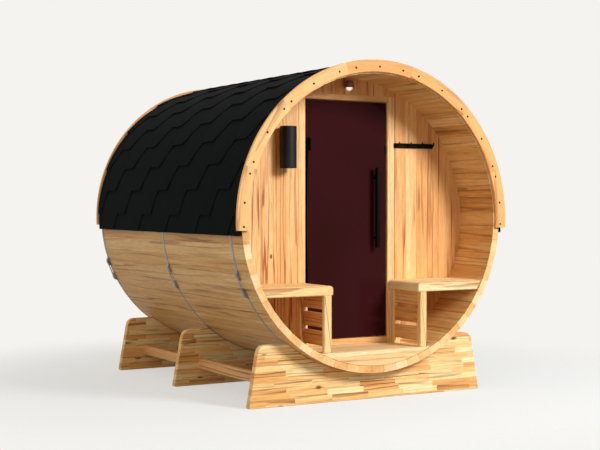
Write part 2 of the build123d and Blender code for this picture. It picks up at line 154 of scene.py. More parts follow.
@dataclass(frozen=True)
class Finish:
    """A surface finish, which gives the inputs of its Principled shader."""

    name: str

    def shade(self, tree: Tree) -> dict:
        """Builds the patterns and returns the shader's inputs."""
        raise NotImplementedError

    @functools.cache
    def material(self) -> bpy.types.Material:
        """Builds the material once, and gives the same one after that.

        Returns:
            The finished material.
        """
        made = bpy.data.materials.new(self.name)
        made.use_nodes = True
        tree = made.node_tree
        tree.nodes.clear()
        shader = node(tree, "BsdfPrincipled", self.shade(tree))
        node(tree, "OutputMaterial", {"Surface": shader})
        return made


@dataclass(frozen=True)
class Timber(Finish):
    """Planed softwood with growth rings, fibre streaks, knots and, where glued up, strips and blocks.

    Planing leaves it satin, so its colour comes from the grain and hardly from gloss. The rings are drawn
    wider apart than real ones, because those would be finer than the render shows. Noises are given by
    size in millimetres across the grain, detail and roughness.
    """

    run: Run
    pale: str
    honey: str
    brown: str
    late: str
    ring_mm: float
    late_share: float = 0.95
    knot_cell_mm: float = 260.0
    knot_reach: float = 0.05
    knot: str = "#5e2f14"
    streak: str = "#cf945c"
    strip_mm: float = 0.0
    block_mm: float = 0.0
    block_spread: float = 0.45
    streak_share: float = 0.45
    band_share: float = 0.7
    drift_share: float = 0.6
    stretch: float = 0.05
    knot_stretch: float = 0.55
    ring_bend: float = 13.0
    bend_scale: float = 0.04
    strip_slide: float = 7.3
    block_shift: Point = (0.4, 0.2, 0.2)
    fibre: Point = (4.167, 4.0, 0.65)
    band: Point = (26.3, 3.0, 0.6)
    drift: Point = (91.0, 2.0, 0.5)
    breaks: Point = (38.5, 2.0, 0.5)
    roughness: float = 0.55
    gleam: float = 0.35
    relief: float = 0.6 * MM

    def shade(self, tree: Tree) -> dict:
        """Builds the wood from the board values of each point.

        The board is turned level and moved to its own place in the log. Rings are circles round the grain's
        axis, drawn out along it and bent by noise. Tone, drift and bands pick the colour between pale and
        brown. Late wood, fibres and knots darken it, and a cut end shows less of its bands and late wood.

        Args:
            tree: node tree of the material.

        Returns:
            Inputs of the Principled shader.
        """
        place = node(tree, "TexCoord", out="Object")
        turn, tone = (node(tree, "Attribute", out="Fac", attribute_name=label) for label in ("turn", "tone"))
        shift = node(tree, "Attribute", out="Vector", attribute_name="shift")
        middle = (0.0, 0.0, BARREL.axis_height)
        level = node(tree, "VectorRotate", {"Vector": place, "Center": middle, "Axis": (0.0, 1.0, 0.0),
                                            "Angle": turn}, rotation_type="AXIS_ANGLE")
        moved = node(tree, "VectorMath", (level, shift), operation="ADD")
        if self.block_mm:
            tone, moved = self.blocks(tree, moved, tone)
        grain = node(tree, "Mapping", {"Vector": moved, "Scale": self.run.scale(self.stretch),
                                       "Rotation": self.run.spin()})
        rings = node(tree, "TexWave", {"Vector": grain, "Scale": WAVE_LENGTH / (self.ring_mm * MM),
                                       "Distortion": self.ring_bend, "Detail": 3.0, "Detail Roughness": 0.5,
                                       "Detail Scale": self.ring_mm * self.bend_scale},
                     "Fac", wave_type="RINGS", rings_direction="Y", wave_profile="SAW")
        fibre, band, drift, breaks = (
            node(tree, "TexNoise", {"Vector": grain, "Scale": 1 / (size * MM), "Detail": detail,
                                    "Roughness": rough})
            for size, detail, rough in (self.fibre, self.band, self.drift, self.breaks))
        normal = node(tree, "SeparateXYZ", (node(tree, "NewGeometry", out="Normal"),), self.run.value)
        endwise = node(tree, "Math", (normal,), operation="ABSOLUTE")
        lengthwise = node(tree, "ValToRGB", (endwise,), stops=((0.5, 1.0), (0.95, 0.25)))
        colour = self.board_colour(tree, tone, drift, band, lengthwise)

        late = node(tree, "ValToRGB", (rings,),
                    stops=((0.45, 0.0), (0.68, 0.12), (0.8, 1.0), (0.95, 1.0), (1.0, 0.0)))
        patchy = node(tree, "ValToRGB", (drift,), stops=((0.38, 0.3), (0.6, 1.0)))
        broken = node(tree, "ValToRGB", (breaks,), stops=((0.36, 0.3), (0.56, 1.0)))
        for share in (patchy, broken, lengthwise, self.late_share):
            late = node(tree, "Math", (late, share), operation="MULTIPLY")
        streaks = node(tree, "ValToRGB", (fibre,), stops=((0.45, 0.0), (0.7, 1.0)))
        streaks = node(tree, "Math", (streaks, self.streak_share), operation="MULTIPLY")
        spot = node(tree, "Mapping", {"Vector": moved, "Scale": self.run.scale(self.knot_stretch)})
        cell = node(tree, "TexVoronoi", {"Vector": spot, "Scale": 1 / (self.knot_cell_mm * MM)}, feature="F1")
        knots = node(tree, "ValToRGB", (cell,),
                     stops=((0.0, 1.0), (0.6 * self.knot_reach, 0.85), (self.knot_reach, 0.0)))
        layers = ((late, self.late, "MIX"), (streaks, self.streak, "MULTIPLY"), (knots, self.knot, "MIX"))
        for share, tint, way in layers:
            colour = node(tree, "Mix", {0: share, 6: colour, 7: linear(tint)}, 2, data_type="RGBA",
                          blend_type=way)

        height = node(tree, "Math", (rings, 0.5, fibre), operation="MULTIPLY_ADD")
        bump = node(tree, "Bump", {"Strength": 0.35, "Distance": self.relief, "Height": height})
        return {"Base Color": colour, "Roughness": self.roughness, "Specular IOR Level": self.gleam,
                "Normal": bump}

    def board_colour(self, tree: Tree, tone: Socket, drift: Socket, band: Socket,
                     lengthwise: Socket) -> Socket:
        """Picks the colour between pale, honey and brown: tone + drift + bands, which fade on a cut end.

        Args:
            tree: node tree of the material.
            tone: the board's own tone.
            drift: slow noise.
            band: narrow noise along the grain.
            lengthwise: 1 on a face along the grain, less on a cut end.

        Returns:
            The colour.
        """
        swell = node(tree, "Math", (drift, 0.5), operation="SUBTRACT")
        hue = node(tree, "Math", (swell, self.drift_share, tone), operation="MULTIPLY_ADD")
        stripe = node(tree, "Math", (band, 0.5), operation="SUBTRACT")
        stripe = node(tree, "Math", (stripe, lengthwise), operation="MULTIPLY")
        hue = node(tree, "Math", (stripe, self.band_share, hue), operation="MULTIPLY_ADD")
        return node(tree, "ValToRGB", (hue,), stops=((0.0, self.pale), (0.5, self.honey), (1.0, self.brown)))

    def blocks(self, tree: Tree, moved: Socket, tone: Socket) -> tuple[Socket, Socket]:
        """Gives each finger-jointed block of a glued strip its own tone and its own place in the log.

        Strips are counted upwards and blocks along the grain, and each strip's blocks start elsewhere.

        Args:
            tree: node tree of the material.
            moved: board coordinates.
            tone: the board's tone.

        Returns:
            The block's tone and its coordinates.
        """
        parts = node(tree, "SeparateXYZ", (moved,)).node.outputs
        lane = node(tree, "Math", (parts[2], self.strip_mm * MM), operation="DIVIDE")
        strip = node(tree, "Math", (lane,), operation="FLOOR")
        start = node(tree, "TexWhiteNoise", {"W": strip}, noise_dimensions="1D")
        reach = node(tree, "Math", (parts[self.run.value], self.block_mm * MM), operation="DIVIDE")
        offset = node(tree, "Math", (start, self.strip_slide, reach), operation="MULTIPLY_ADD")
        length = node(tree, "Math", (offset,), operation="FLOOR")
        spot = node(tree, "CombineXYZ", (length, strip, 0.0))
        pick = node(tree, "TexWhiteNoise", {"Vector": spot}, noise_dimensions="2D").node.outputs
        centred = node(tree, "Math", (pick["Value"], 0.5), operation="SUBTRACT")
        own = node(tree, "Math", (centred, 2 * self.block_spread, tone), operation="MULTIPLY_ADD")
        cut = node(tree, "VectorMath", (pick["Color"], self.block_shift, moved), operation="MULTIPLY_ADD")
        return own, cut


@dataclass(frozen=True)
class Bitumen(Finish):
    """Bitumen shingle: felt coated with asphalt and rolled in black mineral grit, so matt and speckled."""

    name: str = "bitumen_shingle_gritted"
    dark: str = "#020304"
    light: str = "#0f1214"
    grit_mm: float = 2.2
    blotch_mm: float = 111.0
    share: float = 0.35

    def shade(self, tree: Tree) -> dict:
        """Builds grit from cells at the grain's size, over slow blotches from the rolling.

        Args:
            tree: node tree of the material.

        Returns:
            Inputs of the Principled shader.
        """
        place = node(tree, "TexCoord", out="Object")
        blend = node(tree, "Attribute", out="Fac", attribute_name="tone")
        grit = node(tree, "TexVoronoi", {"Vector": place, "Scale": 1 / (self.grit_mm * MM)}, feature="F1")
        speck = node(tree, "SeparateColor", (grit.node.outputs["Color"],))
        blotch = node(tree, "TexNoise", {"Vector": place, "Scale": 1 / (self.blotch_mm * MM), "Detail": 4.0})
        for pattern in (speck, blotch):
            blend = node(tree, "Math", (pattern, self.share, blend), operation="MULTIPLY_ADD")
        colour = node(tree, "ValToRGB", (blend,), stops=((0.1, self.dark), (1.0, self.light)))
        bump = node(tree, "Bump", {"Strength": 0.5, "Distance": 0.5 * MM, "Height": grit})
        return {"Base Color": colour, "Roughness": 0.9, "Specular IOR Level": 0.06, "Normal": bump}


@dataclass(frozen=True)
class Metal(Finish):
    """Metal or painted metal with fine marks from how it was made."""

    colour: str
    worn: str
    metallic: float
    roughness: float
    mark_mm: float
    stretch: Point = (1.0, 1.0, 1.0)
    bump_mm: float = 0.05
    gleam: float = 0.5
    drift_mm: float = 71.4

    def shade(self, tree: Tree) -> dict:
        """Builds noise at the mark's size, stretched along the rolling direction, for colour, gloss and bump.

        Args:
            tree: node tree of the material.

        Returns:
            Inputs of the Principled shader.
        """
        place = node(tree, "TexCoord", out="Object")
        drawn = node(tree, "Mapping", {"Vector": place, "Scale": self.stretch})
        marks = node(tree, "TexNoise", {"Vector": drawn, "Scale": 1 / (self.mark_mm * MM), "Detail": 3.0})
        drift = node(tree, "TexNoise", {"Vector": place, "Scale": 1 / (self.drift_mm * MM), "Detail": 3.0})
        blend = node(tree, "Math", (marks, drift), operation="MULTIPLY")
        colour = node(tree, "ValToRGB", (blend,), stops=((0.12, self.colour), (0.42, self.worn)))
        gloss = node(tree, "ValToRGB", (marks,),
                     stops=((0.3, self.roughness * 0.85), (0.7, min(1.0, self.roughness * 1.2))))
        bump = node(tree, "Bump", {"Strength": 0.4, "Distance": self.bump_mm * MM, "Height": marks})
        return {"Base Color": colour, "Metallic": self.metallic, "Specular IOR Level": self.gleam,
                "Roughness": gloss, "Normal": bump}


@dataclass(frozen=True)
class TintedGlass(Finish):
    """Toughened float glass tinted bronze, polished, with a very slow waviness. It is drawn opaque, and its
    deep wine brown is the tint together with painted shade of the unlit cabin behind.
    """

    name: str = "toughened_glass_bronze_painted_shade"
    deep: str = "#301011"
    mid: str = "#381317"
    drift_mm: float = 770.0

    def shade(self, tree: Tree) -> dict:
        """Builds a glossy dark body with slow tone drift: painted shade of the unlit cabin behind, over the
        bronze tint.

        Args:
            tree: node tree of the material.

        Returns:
            Inputs of the Principled shader.
        """
        place = node(tree, "TexCoord", out="Object")
        drift = node(tree, "TexNoise", {"Vector": place, "Scale": 1 / (self.drift_mm * MM), "Detail": 1.0})
        colour = node(tree, "ValToRGB", (drift,), stops=((0.3, self.deep), (0.7, self.mid)))
        wave = node(tree, "Bump", {"Strength": 0.05, "Distance": 0.4 * MM, "Height": drift})
        return {"Base Color": colour, "Roughness": 0.06, "IOR": 1.5, "Specular IOR Level": 0.03,
                "Normal": wave}


@dataclass(frozen=True)
class OpalGlobe(Finish):
    """Opal glass globe, blown and acid-matted, lit softly from inside."""

    name: str = "opal_glass_matted"
    body: str = "#fff6ea"
    rim: str = "#a87868"
    cloud_mm: float = 16.7

    def shade(self, tree: Tree) -> dict:
        """Builds a milky body whose glow falls off towards its rim in a faint cloudy pattern.

        Args:
            tree: node tree of the material.

        Returns:
            Inputs of the Principled shader.
        """
        place = node(tree, "TexCoord", out="Object")
        cloud = node(tree, "TexNoise", {"Vector": place, "Scale": 1 / (self.cloud_mm * MM), "Detail": 2.0})
        rim = node(tree, "LayerWeight", {"Blend": 0.5}, "Facing")
        depth = node(tree, "Math", (cloud, 0.15, rim), operation="MULTIPLY_ADD")
        colour = node(tree, "ValToRGB", (depth,), stops=((0.2, self.body), (0.75, self.rim)))
        return {"Base Color": colour, "Emission Color": colour, "Emission Strength": 0.8, "Roughness": 0.35}


# Wall boards are planed spruce: pale yellow, with upright brown rings that show as flames and lines.
WALL_PINE = Timber("spruce_wall_boards_planed", Run.ALONG_Z, "#ffdd9f", "#f0b876", "#d89652", "#94440f", 18.0,
                   0.85, 420.0, 0.025)
# The door frame is planed spruce with few marks. Its rails, head and sill, take a darker copy of it: painted
# shade, standing for the shade of the roof.
FRAME_PINE = Timber("spruce_frame_planed", Run.ALONG_Z, "#ffdd9f", "#f7c684", "#e2a662", "#b0642a", 16.0,
                    0.5, 900.0)
HEAD_PINE_PAINTED_SHADE = Timber("spruce_head_painted_shade", Run.ALONG_X, "#f6cc8c", "#e4ae6c", "#c88a4a", "#a05a24", 16.0,
                   0.5, 900.0)
# Arch boards are sawn to a curve from wide planks, so their rings run straight through the bend.
ARCH_PINE = Timber("pine_arch_boards_sawn_to_curve", Run.ALONG_X, "#f9c886", "#eaa862", "#d68c48", "#964c16",
                   20.0, 0.8, 430.0, 0.025, streak_share=0.3, band_share=0.3)
# Staves are planed pine that has darkened outdoors: brown bands along each, and pale sawn ends.
STAVE_PINE = Timber("pine_staves_planed", Run.ALONG_Y, "#f0cc90", "#deac68", "#b67f42", "#744212", 27.0, 0.65,
                    330.0, 0.03, band_share=1.1)
END_PINE = Timber("pine_stave_ends_sawn", Run.ALONG_Y, "#fff0c0", "#f6c480", "#c27636", "#9c5a24", 9.0,
                  knot_cell_mm=5000.0)
# Cradles are glued from planed strips of finger-jointed blocks, each block with its own tone.
CRADLE_PINE = Timber("pine_glued_strips_planed", Run.ALONG_X, "#fff3bc", "#fac87e", "#d48a44", "#7c380c",
                     20.0, 0.8, 200.0, 0.08, strip_mm=32.0, block_mm=250.0, block_spread=0.34, band_share=0.9)
BEAM_PINE = Timber("pine_stretchers_planed", Run.ALONG_Y, "#ffd898", "#f4be7c", "#dc9a58", "#9c5c28", 18.0)
# Deck and benches are the palest wood: planed, rounded at the edges and hardly knotty.
FLOOR_PINE = Timber("pine_deck_boards_planed", Run.ALONG_X, "#ffeab8", "#fbd296", "#e4aa68", "#a86c30", 19.0,
                    0.55, 600.0)
BENCH_PINE = Timber("spruce_bench_planed_rounded", Run.ALONG_X, "#ffefc0", "#fbd08c", "#e0a460", "#96531c",
                    18.0, 0.75, 900.0)
LEG_PINE = Timber("spruce_legs_planed_rounded", Run.ALONG_Z, "#ffe8ac", "#fbd08c", "#e0a460", "#96531c", 16.0,
                  0.8, 900.0)
SLAT_PINE = Timber("spruce_slats_planed", Run.ALONG_Y, "#fad494", "#e8b06c", "#ca8a4c", "#8a5020", 18.0)
SHINGLE = Bitumen()
# Zinced steel is pale grey with a soft gleam, drawn out along the strap where it was rolled.
STRAP_STEEL = Metal("steel_strap_rolled_zinced", "#77797f", "#a4a6ab", 0.85, 0.42, 1.2, (1.0, 1.0, 0.2))
BOLT_STEEL = Metal("steel_bolt_zinc_plated", "#7c7e84", "#b0b2b6", 0.9, 0.35, 0.8)
# Phosphate, powder coat and blacking hide the metal: black and nearly matt, with a fine orange peel.
SCREW_STEEL = Metal("screw_phosphated_black", "#080503", "#140c08", 0.0, 0.8, 0.5, gleam=0.1)
BLACK_STEEL = Metal("steel_powder_coated_black", "#020203", "#060608", 0.0, 0.5, 0.9, bump_mm=0.08,
                    gleam=0.07)
HINGE_STEEL = Metal("steel_hinge_blackened", "#010101", "#040406", 0.0, 0.8, 0.9, bump_mm=0.04, gleam=0.02)
LAMP_BLACK = Metal("aluminium_powder_coated_black", "#060708", "#121316", 0.0, 0.45, 0.9, bump_mm=0.08,
                   gleam=0.22)
# Bronzed brass is reddish brown and still a little metallic.
CAP_BRONZE = Metal("brass_cap_bronzed", "#6a4038", "#94625a", 0.35, 0.4, 1.0)
GLASS = TintedGlass()
OPAL = OpalGlobe()


# Outlines and surfaces


@dataclass(frozen=True)
class Axes:
    """Right-handed axes: an outline lies in first and second, and its depth runs along their cross."""

    origin: Point
    first: Point = (1.0, 0.0, 0.0)
    second: Point = UP

    def place(self, flat: np.ndarray, depth: float) -> np.ndarray:
        """Puts outline points into the room: origin + u first + v second + depth third.

        Args:
            flat: points (n, 2), with u and v.
            depth: distance along the third axis.

        Returns:
            Points (n, 3).
        """
        one, two = np.array(self.first), np.array(self.second)
        return np.array(self.origin) + flat[:, :1] * one + flat[:, 1:] * two + depth * np.cross(one, two)


def facing_porch(y: float, z: float = 0.0) -> Axes:
    """Axes for an outline in X and Z whose depth runs towards the porch, from y."""
    return Axes((0.0, y, z))


def oblong(left: float, right: float, low: float, high: float) -> np.ndarray:
    """Corners of a rectangle, anticlockwise from the lower left."""
    return np.array([(left, low), (right, low), (right, high), (left, high)])


def arc(radius: float, start: float, stop: float, count: int, height: float = 0.0) -> np.ndarray:
    """Points on a circle: (r sin a, height + r cos a).

    Args:
        radius: r.
        start: first angle, in degrees clockwise from straight up.
        stop: last angle.
        count: number of points.
        height: height of the centre.

    Returns:
        Points (count, 2).
    """
    turn = np.radians(np.linspace(start, stop, count))
    return np.stack((radius * np.sin(turn), height + radius * np.cos(turn)), axis=1)


def round_barrel(radius: float | np.ndarray, angle: np.ndarray, y: float | np.ndarray) -> np.ndarray:
    """Points round the barrel's axis: (r sin a, y, axis + r cos a).

    Args:
        radius: r, one value or an array like the angle's.
        angle: a, in degrees.
        y: place along the barrel, one value or an array.

    Returns:
        Points, with X, Y and Z on the last axis.
    """
    turn = np.radians(angle)
    height = BARREL.axis_height + radius * np.cos(turn)
    return np.stack(np.broadcast_arrays(radius * np.sin(turn), y, height), axis=-1)


def inset(outline: np.ndarray, distance: float) -> np.ndarray:
    """Moves a closed outline inwards: each corner goes along the sum of its two edges' normals.

    Args:
        outline: corners (n, 2), anticlockwise.
        distance: how far each edge moves.

    Returns:
        The moved corners.
    """
    edge = np.roll(outline, -1, axis=0) - outline
    edge /= np.maximum(np.linalg.norm(edge, axis=1, keepdims=True), 1e-9)
    normal = np.stack((-edge[:, 1], edge[:, 0]), axis=1)
    before = np.roll(normal, 1, axis=0)
    spread = 1.0 + (normal * before).sum(axis=1, keepdims=True)
    return outline + distance * (normal + before) / np.maximum(spread, 0.35)


def bend(before: np.ndarray, corner: np.ndarray, after: np.ndarray, count: int) -> np.ndarray:
    """Quadratic curves: (1 - t)^2 before + 2t(1 - t) corner + t^2 after, with t from 0 to 1.

    Args:
        before: where each curve starts, (n, 2) or one point.
        corner: the corner that it rounds.
        after: where it ends.
        count: points on each curve.

    Returns:
        The points of all curves in order, (n * count, 2).
    """
    t = np.linspace(0.0, 1.0, count)[None, :, None]
    start, turn, end = (np.reshape(points, (-1, 1, 2)) for points in (before, corner, after))
    return ((1 - t) ** 2 * start + 2 * t * (1 - t) * turn + t ** 2 * end).reshape(-1, 2)


def softened(corners: np.ndarray, radius: float | np.ndarray, count: int = 3) -> np.ndarray:
    """Rounds the corners of an outline with curves from edge to edge.

    Args:
        corners: (n, 2), in order.
        radius: distance that each curve takes from both edges, one value or one for each corner.
        count: points on each curve.

    Returns:
        The rounded outline, (n * count, 2).
    """
    reach = np.broadcast_to(np.asarray(radius, float), (len(corners),))[:, None]
    ends = []
    for way in (1, -1):
        edge = np.roll(corners, way, axis=0) - corners
        ends.append(corners + reach * edge / np.linalg.norm(edge, axis=1, keepdims=True))
    return bend(ends[0], corners, ends[1], count)


@dataclass(frozen=True)
class Board:
    """What tells boards apart: tone, turn round the barrel in radians, and shift to a place in the log."""

    tone: float = 0.5
    turn: float = 0.0
    shift: Point = (0.0, 0.0, 0.0)

    def row(self) -> np.ndarray:
        """The five numbers that each point carries."""
        return np.array((self.tone, self.turn, *self.shift))


PLAIN = Board()


class Stack:
    """Hands out boards, each cut from another place in the log."""

    def __init__(self, seed: int) -> None:
        """Starts the seeded draw."""
        self.draw = np.random.default_rng(seed)

    def board(self, middle: Point, tone: float, spread: float, turn: float = 0.0,
              deep: float = 50 * MM) -> Board:
        """Cuts one board.

        Args:
            middle: middle of the board, after its turn is taken off.
            tone: mean tone.
            spread: most that the tone departs from it.
            turn: angle round the barrel, in radians.
            deep: least distance from the board to the centre of its rings.

        Returns:
            The board's values.
        """
        away = self.draw.uniform(-1.0, 1.0, 3) * 60 * MM
        depth = self.draw.choice((-1.0, 1.0)) * self.draw.uniform(deep, deep + 90 * MM)
        slide = self.draw.uniform(-3.0, 3.0, 3)
        own = tone + self.draw.uniform(-spread, spread)
        shift = np.array((away[0] + depth, away[1] + slide[1], away[2] - depth)) - np.array(middle)
        return Board(own, turn, tuple(shift))


@dataclass
class Piece:
    """Gathers the surfaces of one object with the board values of each point."""

    name: str
    points: list = field(default_factory=list)
    faces: list = field(default_factory=list)
    slots: list = field(default_factory=list)
    values: list = field(default_factory=list)
    count: int = 0

    def sweep(self, rings: np.ndarray, board: Board, slot: int = 0, cap_slot: int | None = None) -> None:
        """Adds a closed skin: quads between neighbouring rings, and a flat cap at each end.

        Args:
            rings: closed rings of points, (k, n, 3).
            board: values that every point carries.
            slot: material slot.
            cap_slot: material slot of the caps, where it differs.
        """
        levels, size = rings.shape[:2]
        low = self.count + np.arange(levels - 1)[:, None] * size
        here = np.arange(size)[None, :]
        near = (here + 1) % size
        quads = np.stack((low + here, low + near, low + size + near, low + size + here), axis=-1)
        first, last = self.count + np.arange(size), self.count + np.arange((levels - 1) * size, levels * size)
        self.faces += [*quads.reshape(-1, 4).tolist(), first[::-1].tolist(), last.tolist()]
        self.slots += [slot] * (quads.size // 4) + [slot if cap_slot is None else cap_slot] * 2
        self.points.append(rings.reshape(-1, 3))
        self.values.append(np.tile(board.row(), (levels * size, 1)))
        self.count += levels * size

    def prism(self, outline: np.ndarray, axes: Axes, depth: float, edge: float, board: Board, slot: int = 0,
              cap_slot: int | None = None, drawn_in: np.ndarray | None = None) -> None:
        """Adds a board: its outline carried along the depth, drawn in by the edge at both faces.

        Args:
            outline: corners, anticlockwise.
            axes: where the outline lies and which way the depth runs.
            depth: thickness of the board.
            edge: size of the softened edge.
            board: the board's values.
            slot: material slot.
            cap_slot: material slot of both faces, where it differs.
            drawn_in: outline at the faces, where it isn't the outline moved in by the edge all round.
        """
        if drawn_in is None:
            drawn_in = inset(outline, edge)
        sections = ((drawn_in, 0.0), (outline, edge), (outline, depth - edge), (drawn_in, depth))
        self.sweep(np.stack([axes.place(flat, far) for flat, far in sections]), board, slot, cap_slot)

    def lathe(self, profile: np.ndarray, centre: Point, axis: Run, sides: int = 40, slot: int = 0) -> None:
        """Adds a turned shape: each (r, h) of the profile becomes the ring (r cos a, r sin a, h) on the axis.

        Args:
            profile: radius and height of each ring, (k, 2).
            centre: where the heights start.
            axis: along Z, or along Y.
            sides: points on each ring.
            slot: material slot.
        """
        turn = np.linspace(0.0, 2 * np.pi, sides, endpoint=False)
        radius, height = profile[:, :1], profile[:, 1:]
        rings = np.stack(np.broadcast_arrays(radius * np.cos(turn), radius * np.sin(turn), height), axis=-1)
        if axis is Run.ALONG_Y:
            rings = rings[..., [1, 2, 0]]
        self.sweep(rings + np.array(centre), PLAIN, slot)

    def tube(self, path: np.ndarray, radius: np.ndarray, side: Point, sides: int = 14) -> None:
        """Adds a round bar along a flat path: circles in the plane of side and its cross with the path.

        Args:
            path: points, (k, 3).
            radius: the bar's radius at each point.
            side: direction square to the plane of the path.
            sides: points on each circle.
        """
        along = np.gradient(path, axis=0)
        along /= np.linalg.norm(along, axis=1, keepdims=True)
        across = np.broadcast_to(np.array(side), along.shape)
        up = np.cross(along, across)
        turn = np.linspace(0.0, 2 * np.pi, sides, endpoint=False)[None, :, None]
        circle = np.cos(turn) * across[:, None] + np.sin(turn) * up[:, None]
        self.sweep(path[:, None] + radius[:, None, None] * circle, PLAIN)

    def make(self, kinds: list[Finish], body: str, slot: str, nodes: tuple[str, ...] = (),
             sharp: float = 32.0) -> None:
        """Makes the object and ties it to the frame.

        Args:
            kinds: finishes, in the order of the slots used.
            body: CAD body that it rides on.
            slot: the record's material slot; not used.
            nodes: CAD nodes that it stands for.
            sharp: angle in degrees above which an edge stays sharp.
        """
        mesh = bpy.data.meshes.new(self.name)
        mesh.from_pydata(np.concatenate(self.points).tolist(), [], self.faces)
        mesh.polygons.foreach_set("material_index", self.slots)
        mesh.polygons.foreach_set("use_smooth", [True] * len(self.faces))
        values = np.concatenate(self.values).astype(np.float32)
        for label, numbers in (("tone", values[:, 0]), ("turn", values[:, 1])):
            mesh.attributes.new(label, "FLOAT", "POINT").data.foreach_set("value", numbers.copy())
        shift = mesh.attributes.new("shift", "FLOAT_VECTOR", "POINT")
        shift.data.foreach_set("vector", values[:, 2:].ravel())
        for kind in kinds:
            mesh.materials.append(kind.material())
        mesh.validate()
        mesh.set_sharp_from_angle(angle=math.radians(sharp))
        mesh.update()
        made = bpy.data.objects.new(self.name, mesh)
        bpy.context.scene.collection.objects.link(made)
        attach(made, body)
        if nodes:
            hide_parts(*nodes)
        log.info("%s: %d points, %d faces", self.name, self.count, len(self.faces))


# The barrel


@dataclass
class Staves:
    """The barrel's 64 staves, in the CAD model's eight groups."""

    count: int = 64
    in_group: int = 8
    bevel: float = 1.8 * MM
    joint: float = 0.3 * MM
    end_edge: float = 1.0 * MM
    stack: Stack = field(default_factory=lambda: Stack(11))

    def section(self) -> np.ndarray:
        """Section of the stave at the top: two flat faces between slanted flanks, all four edges bevelled.

        Returns:
            Corners (8, 2), with half widths r tan(pi / count) less half a joint.
        """
        half = math.pi / self.count
        outer, inner = BARREL.radius, BARREL.radius - BARREL.thickness
        wide, narrow = (radius * math.tan(half) - self.joint / 2 for radius in (outer, inner))
        b = self.bevel
        right = np.array([(narrow - b, inner), (narrow, inner + b), (wide, outer - b), (wide - b, outer)])
        left = right[::-1] * (-1.0, 1.0)
        return np.concatenate((left[-1:], right, left[:-1]))

    def build(self) -> None:
        """Makes the groups."""
        section = self.section()
        for group in range(self.count // self.in_group):
            piece = Piece(f"staves_set_{group + 1}")
            first = self.count // 2 + group * self.in_group
            for index in range(first, first + self.in_group):
                turn = 2 * math.pi * index / self.count
                along = (math.cos(turn), 0.0, -math.sin(turn))
                out = (math.sin(turn), 0.0, math.cos(turn))
                board = self.stack.board((0.0, 0.0, BARREL.axis_height + BARREL.radius), 0.42, 0.3, -turn)
                axes = Axes((0.0, BARREL.shell_end, BARREL.axis_height), along, out)
                piece.prism(section, axes, 2 * BARREL.shell_end, self.end_edge, board, 0, 1)
            piece.make([STAVE_PINE, END_PINE], CABIN, "stave_pine", (f"staves_{group + 1}",))


@dataclass
class Arch:
    """Seven boards sawn to a curve, screwed to the ends of the staves."""

    name: str
    front: float
    screw_side: float
    thickness: float = 20 * MM
    outer: float = 936 * MM
    inner: float = 864 * MM
    drop: float = 53 * MM
    edge: float = 3 * MM
    joint: float = 0.5 * MM
    joints: tuple[float, ...] = (14.3, 43.7, 70.8)
    last: float = 95.0
    tones: tuple[float, ...] = (0.15, 0.05, 0.35, 0.6, 0.5, 0.45, 0.35)
    screw_angles: tuple[float, ...] = (0.0, 10.6, 18.0, 30.0, 41.6, 45.7, 56.6, 68.6, 73.0, 83.5, 92.0)
    screw_radius: float = 895 * MM
    screw_head: float = 6.6 * MM
    head_rise: float = 0.5 * MM
    stack: Stack = field(default_factory=lambda: Stack(23))

    def outline(self, start: float, stop: float, edge: float = 0.0) -> np.ndarray:
        """Ring slice, anticlockwise: outer arc back, inner arc forwards, cut level at the drop.

        Args:
            start: angle of the first joint.
            stop: angle of the next joint.
            edge: how far both arcs are drawn in.

        Returns:
            The outline (44, 2).
        """
        count = 22
        gap = math.degrees(self.joint / 2 / self.inner)
        level = [math.degrees(math.asin(self.drop / radius)) + 90 for radius in (self.inner, self.outer)]
        stops = [min(stop - gap, limit) if stop > 0 else stop - gap for limit in level]
        starts = [max(start + gap, -limit) if start < 0 else start + gap for limit in level]
        return np.concatenate((arc(self.outer - edge, stops[1], starts[1], count),
                               arc(self.inner + edge, starts[0], stops[0], count)))

    def screws(self, piece: Piece) -> None:
        """Adds the screw heads: a low dome with a sunk middle, turned on the face away from the staves.

        Args:
            piece: piece that takes them.
        """
        outside = self.front if self.screw_side < 0 else self.front + self.thickness
        head = np.array([(1.0, -1.2), (1.0, -0.2), (0.8, 0.0), (0.4, -0.4)]) * (self.screw_head, MM)
        profile = head * (1.0, self.screw_side)
        if self.screw_side < 0:
            profile = profile[::-1]
        for angle in sorted({-a for a in self.screw_angles} | set(self.screw_angles)):
            x, height = arc(self.screw_radius, angle, angle, 1, BARREL.axis_height)[0]
            piece.lathe(profile, (x, outside, height), Run.ALONG_Y, 12, 1)

    def build(self) -> None:
        """Makes the boards and their screws."""
        piece = Piece(self.name)
        edges = [-self.last, *(-a for a in reversed(self.joints)), *self.joints, self.last]
        rise = self.head_rise if self.screw_side > 0 else 0.0
        axes = facing_porch(self.front + self.thickness - rise, BARREL.axis_height)
        for start, stop, tone in zip(edges[:-1], edges[1:], self.tones):
            turn = math.radians((start + stop) / 2)
            board = self.stack.board((0.0, self.front, BARREL.axis_height + 0.9), tone, 0.04, -turn, 30 * MM)
            piece.prism(self.outline(start, stop), axes, self.thickness - self.head_rise, self.edge, board,
                        drawn_in=self.outline(start, stop, self.edge))
        self.screws(piece)
        piece.make([ARCH_PINE, SCREW_STEEL], CABIN, "arch_pine", (self.name.replace("_boards", ""),))


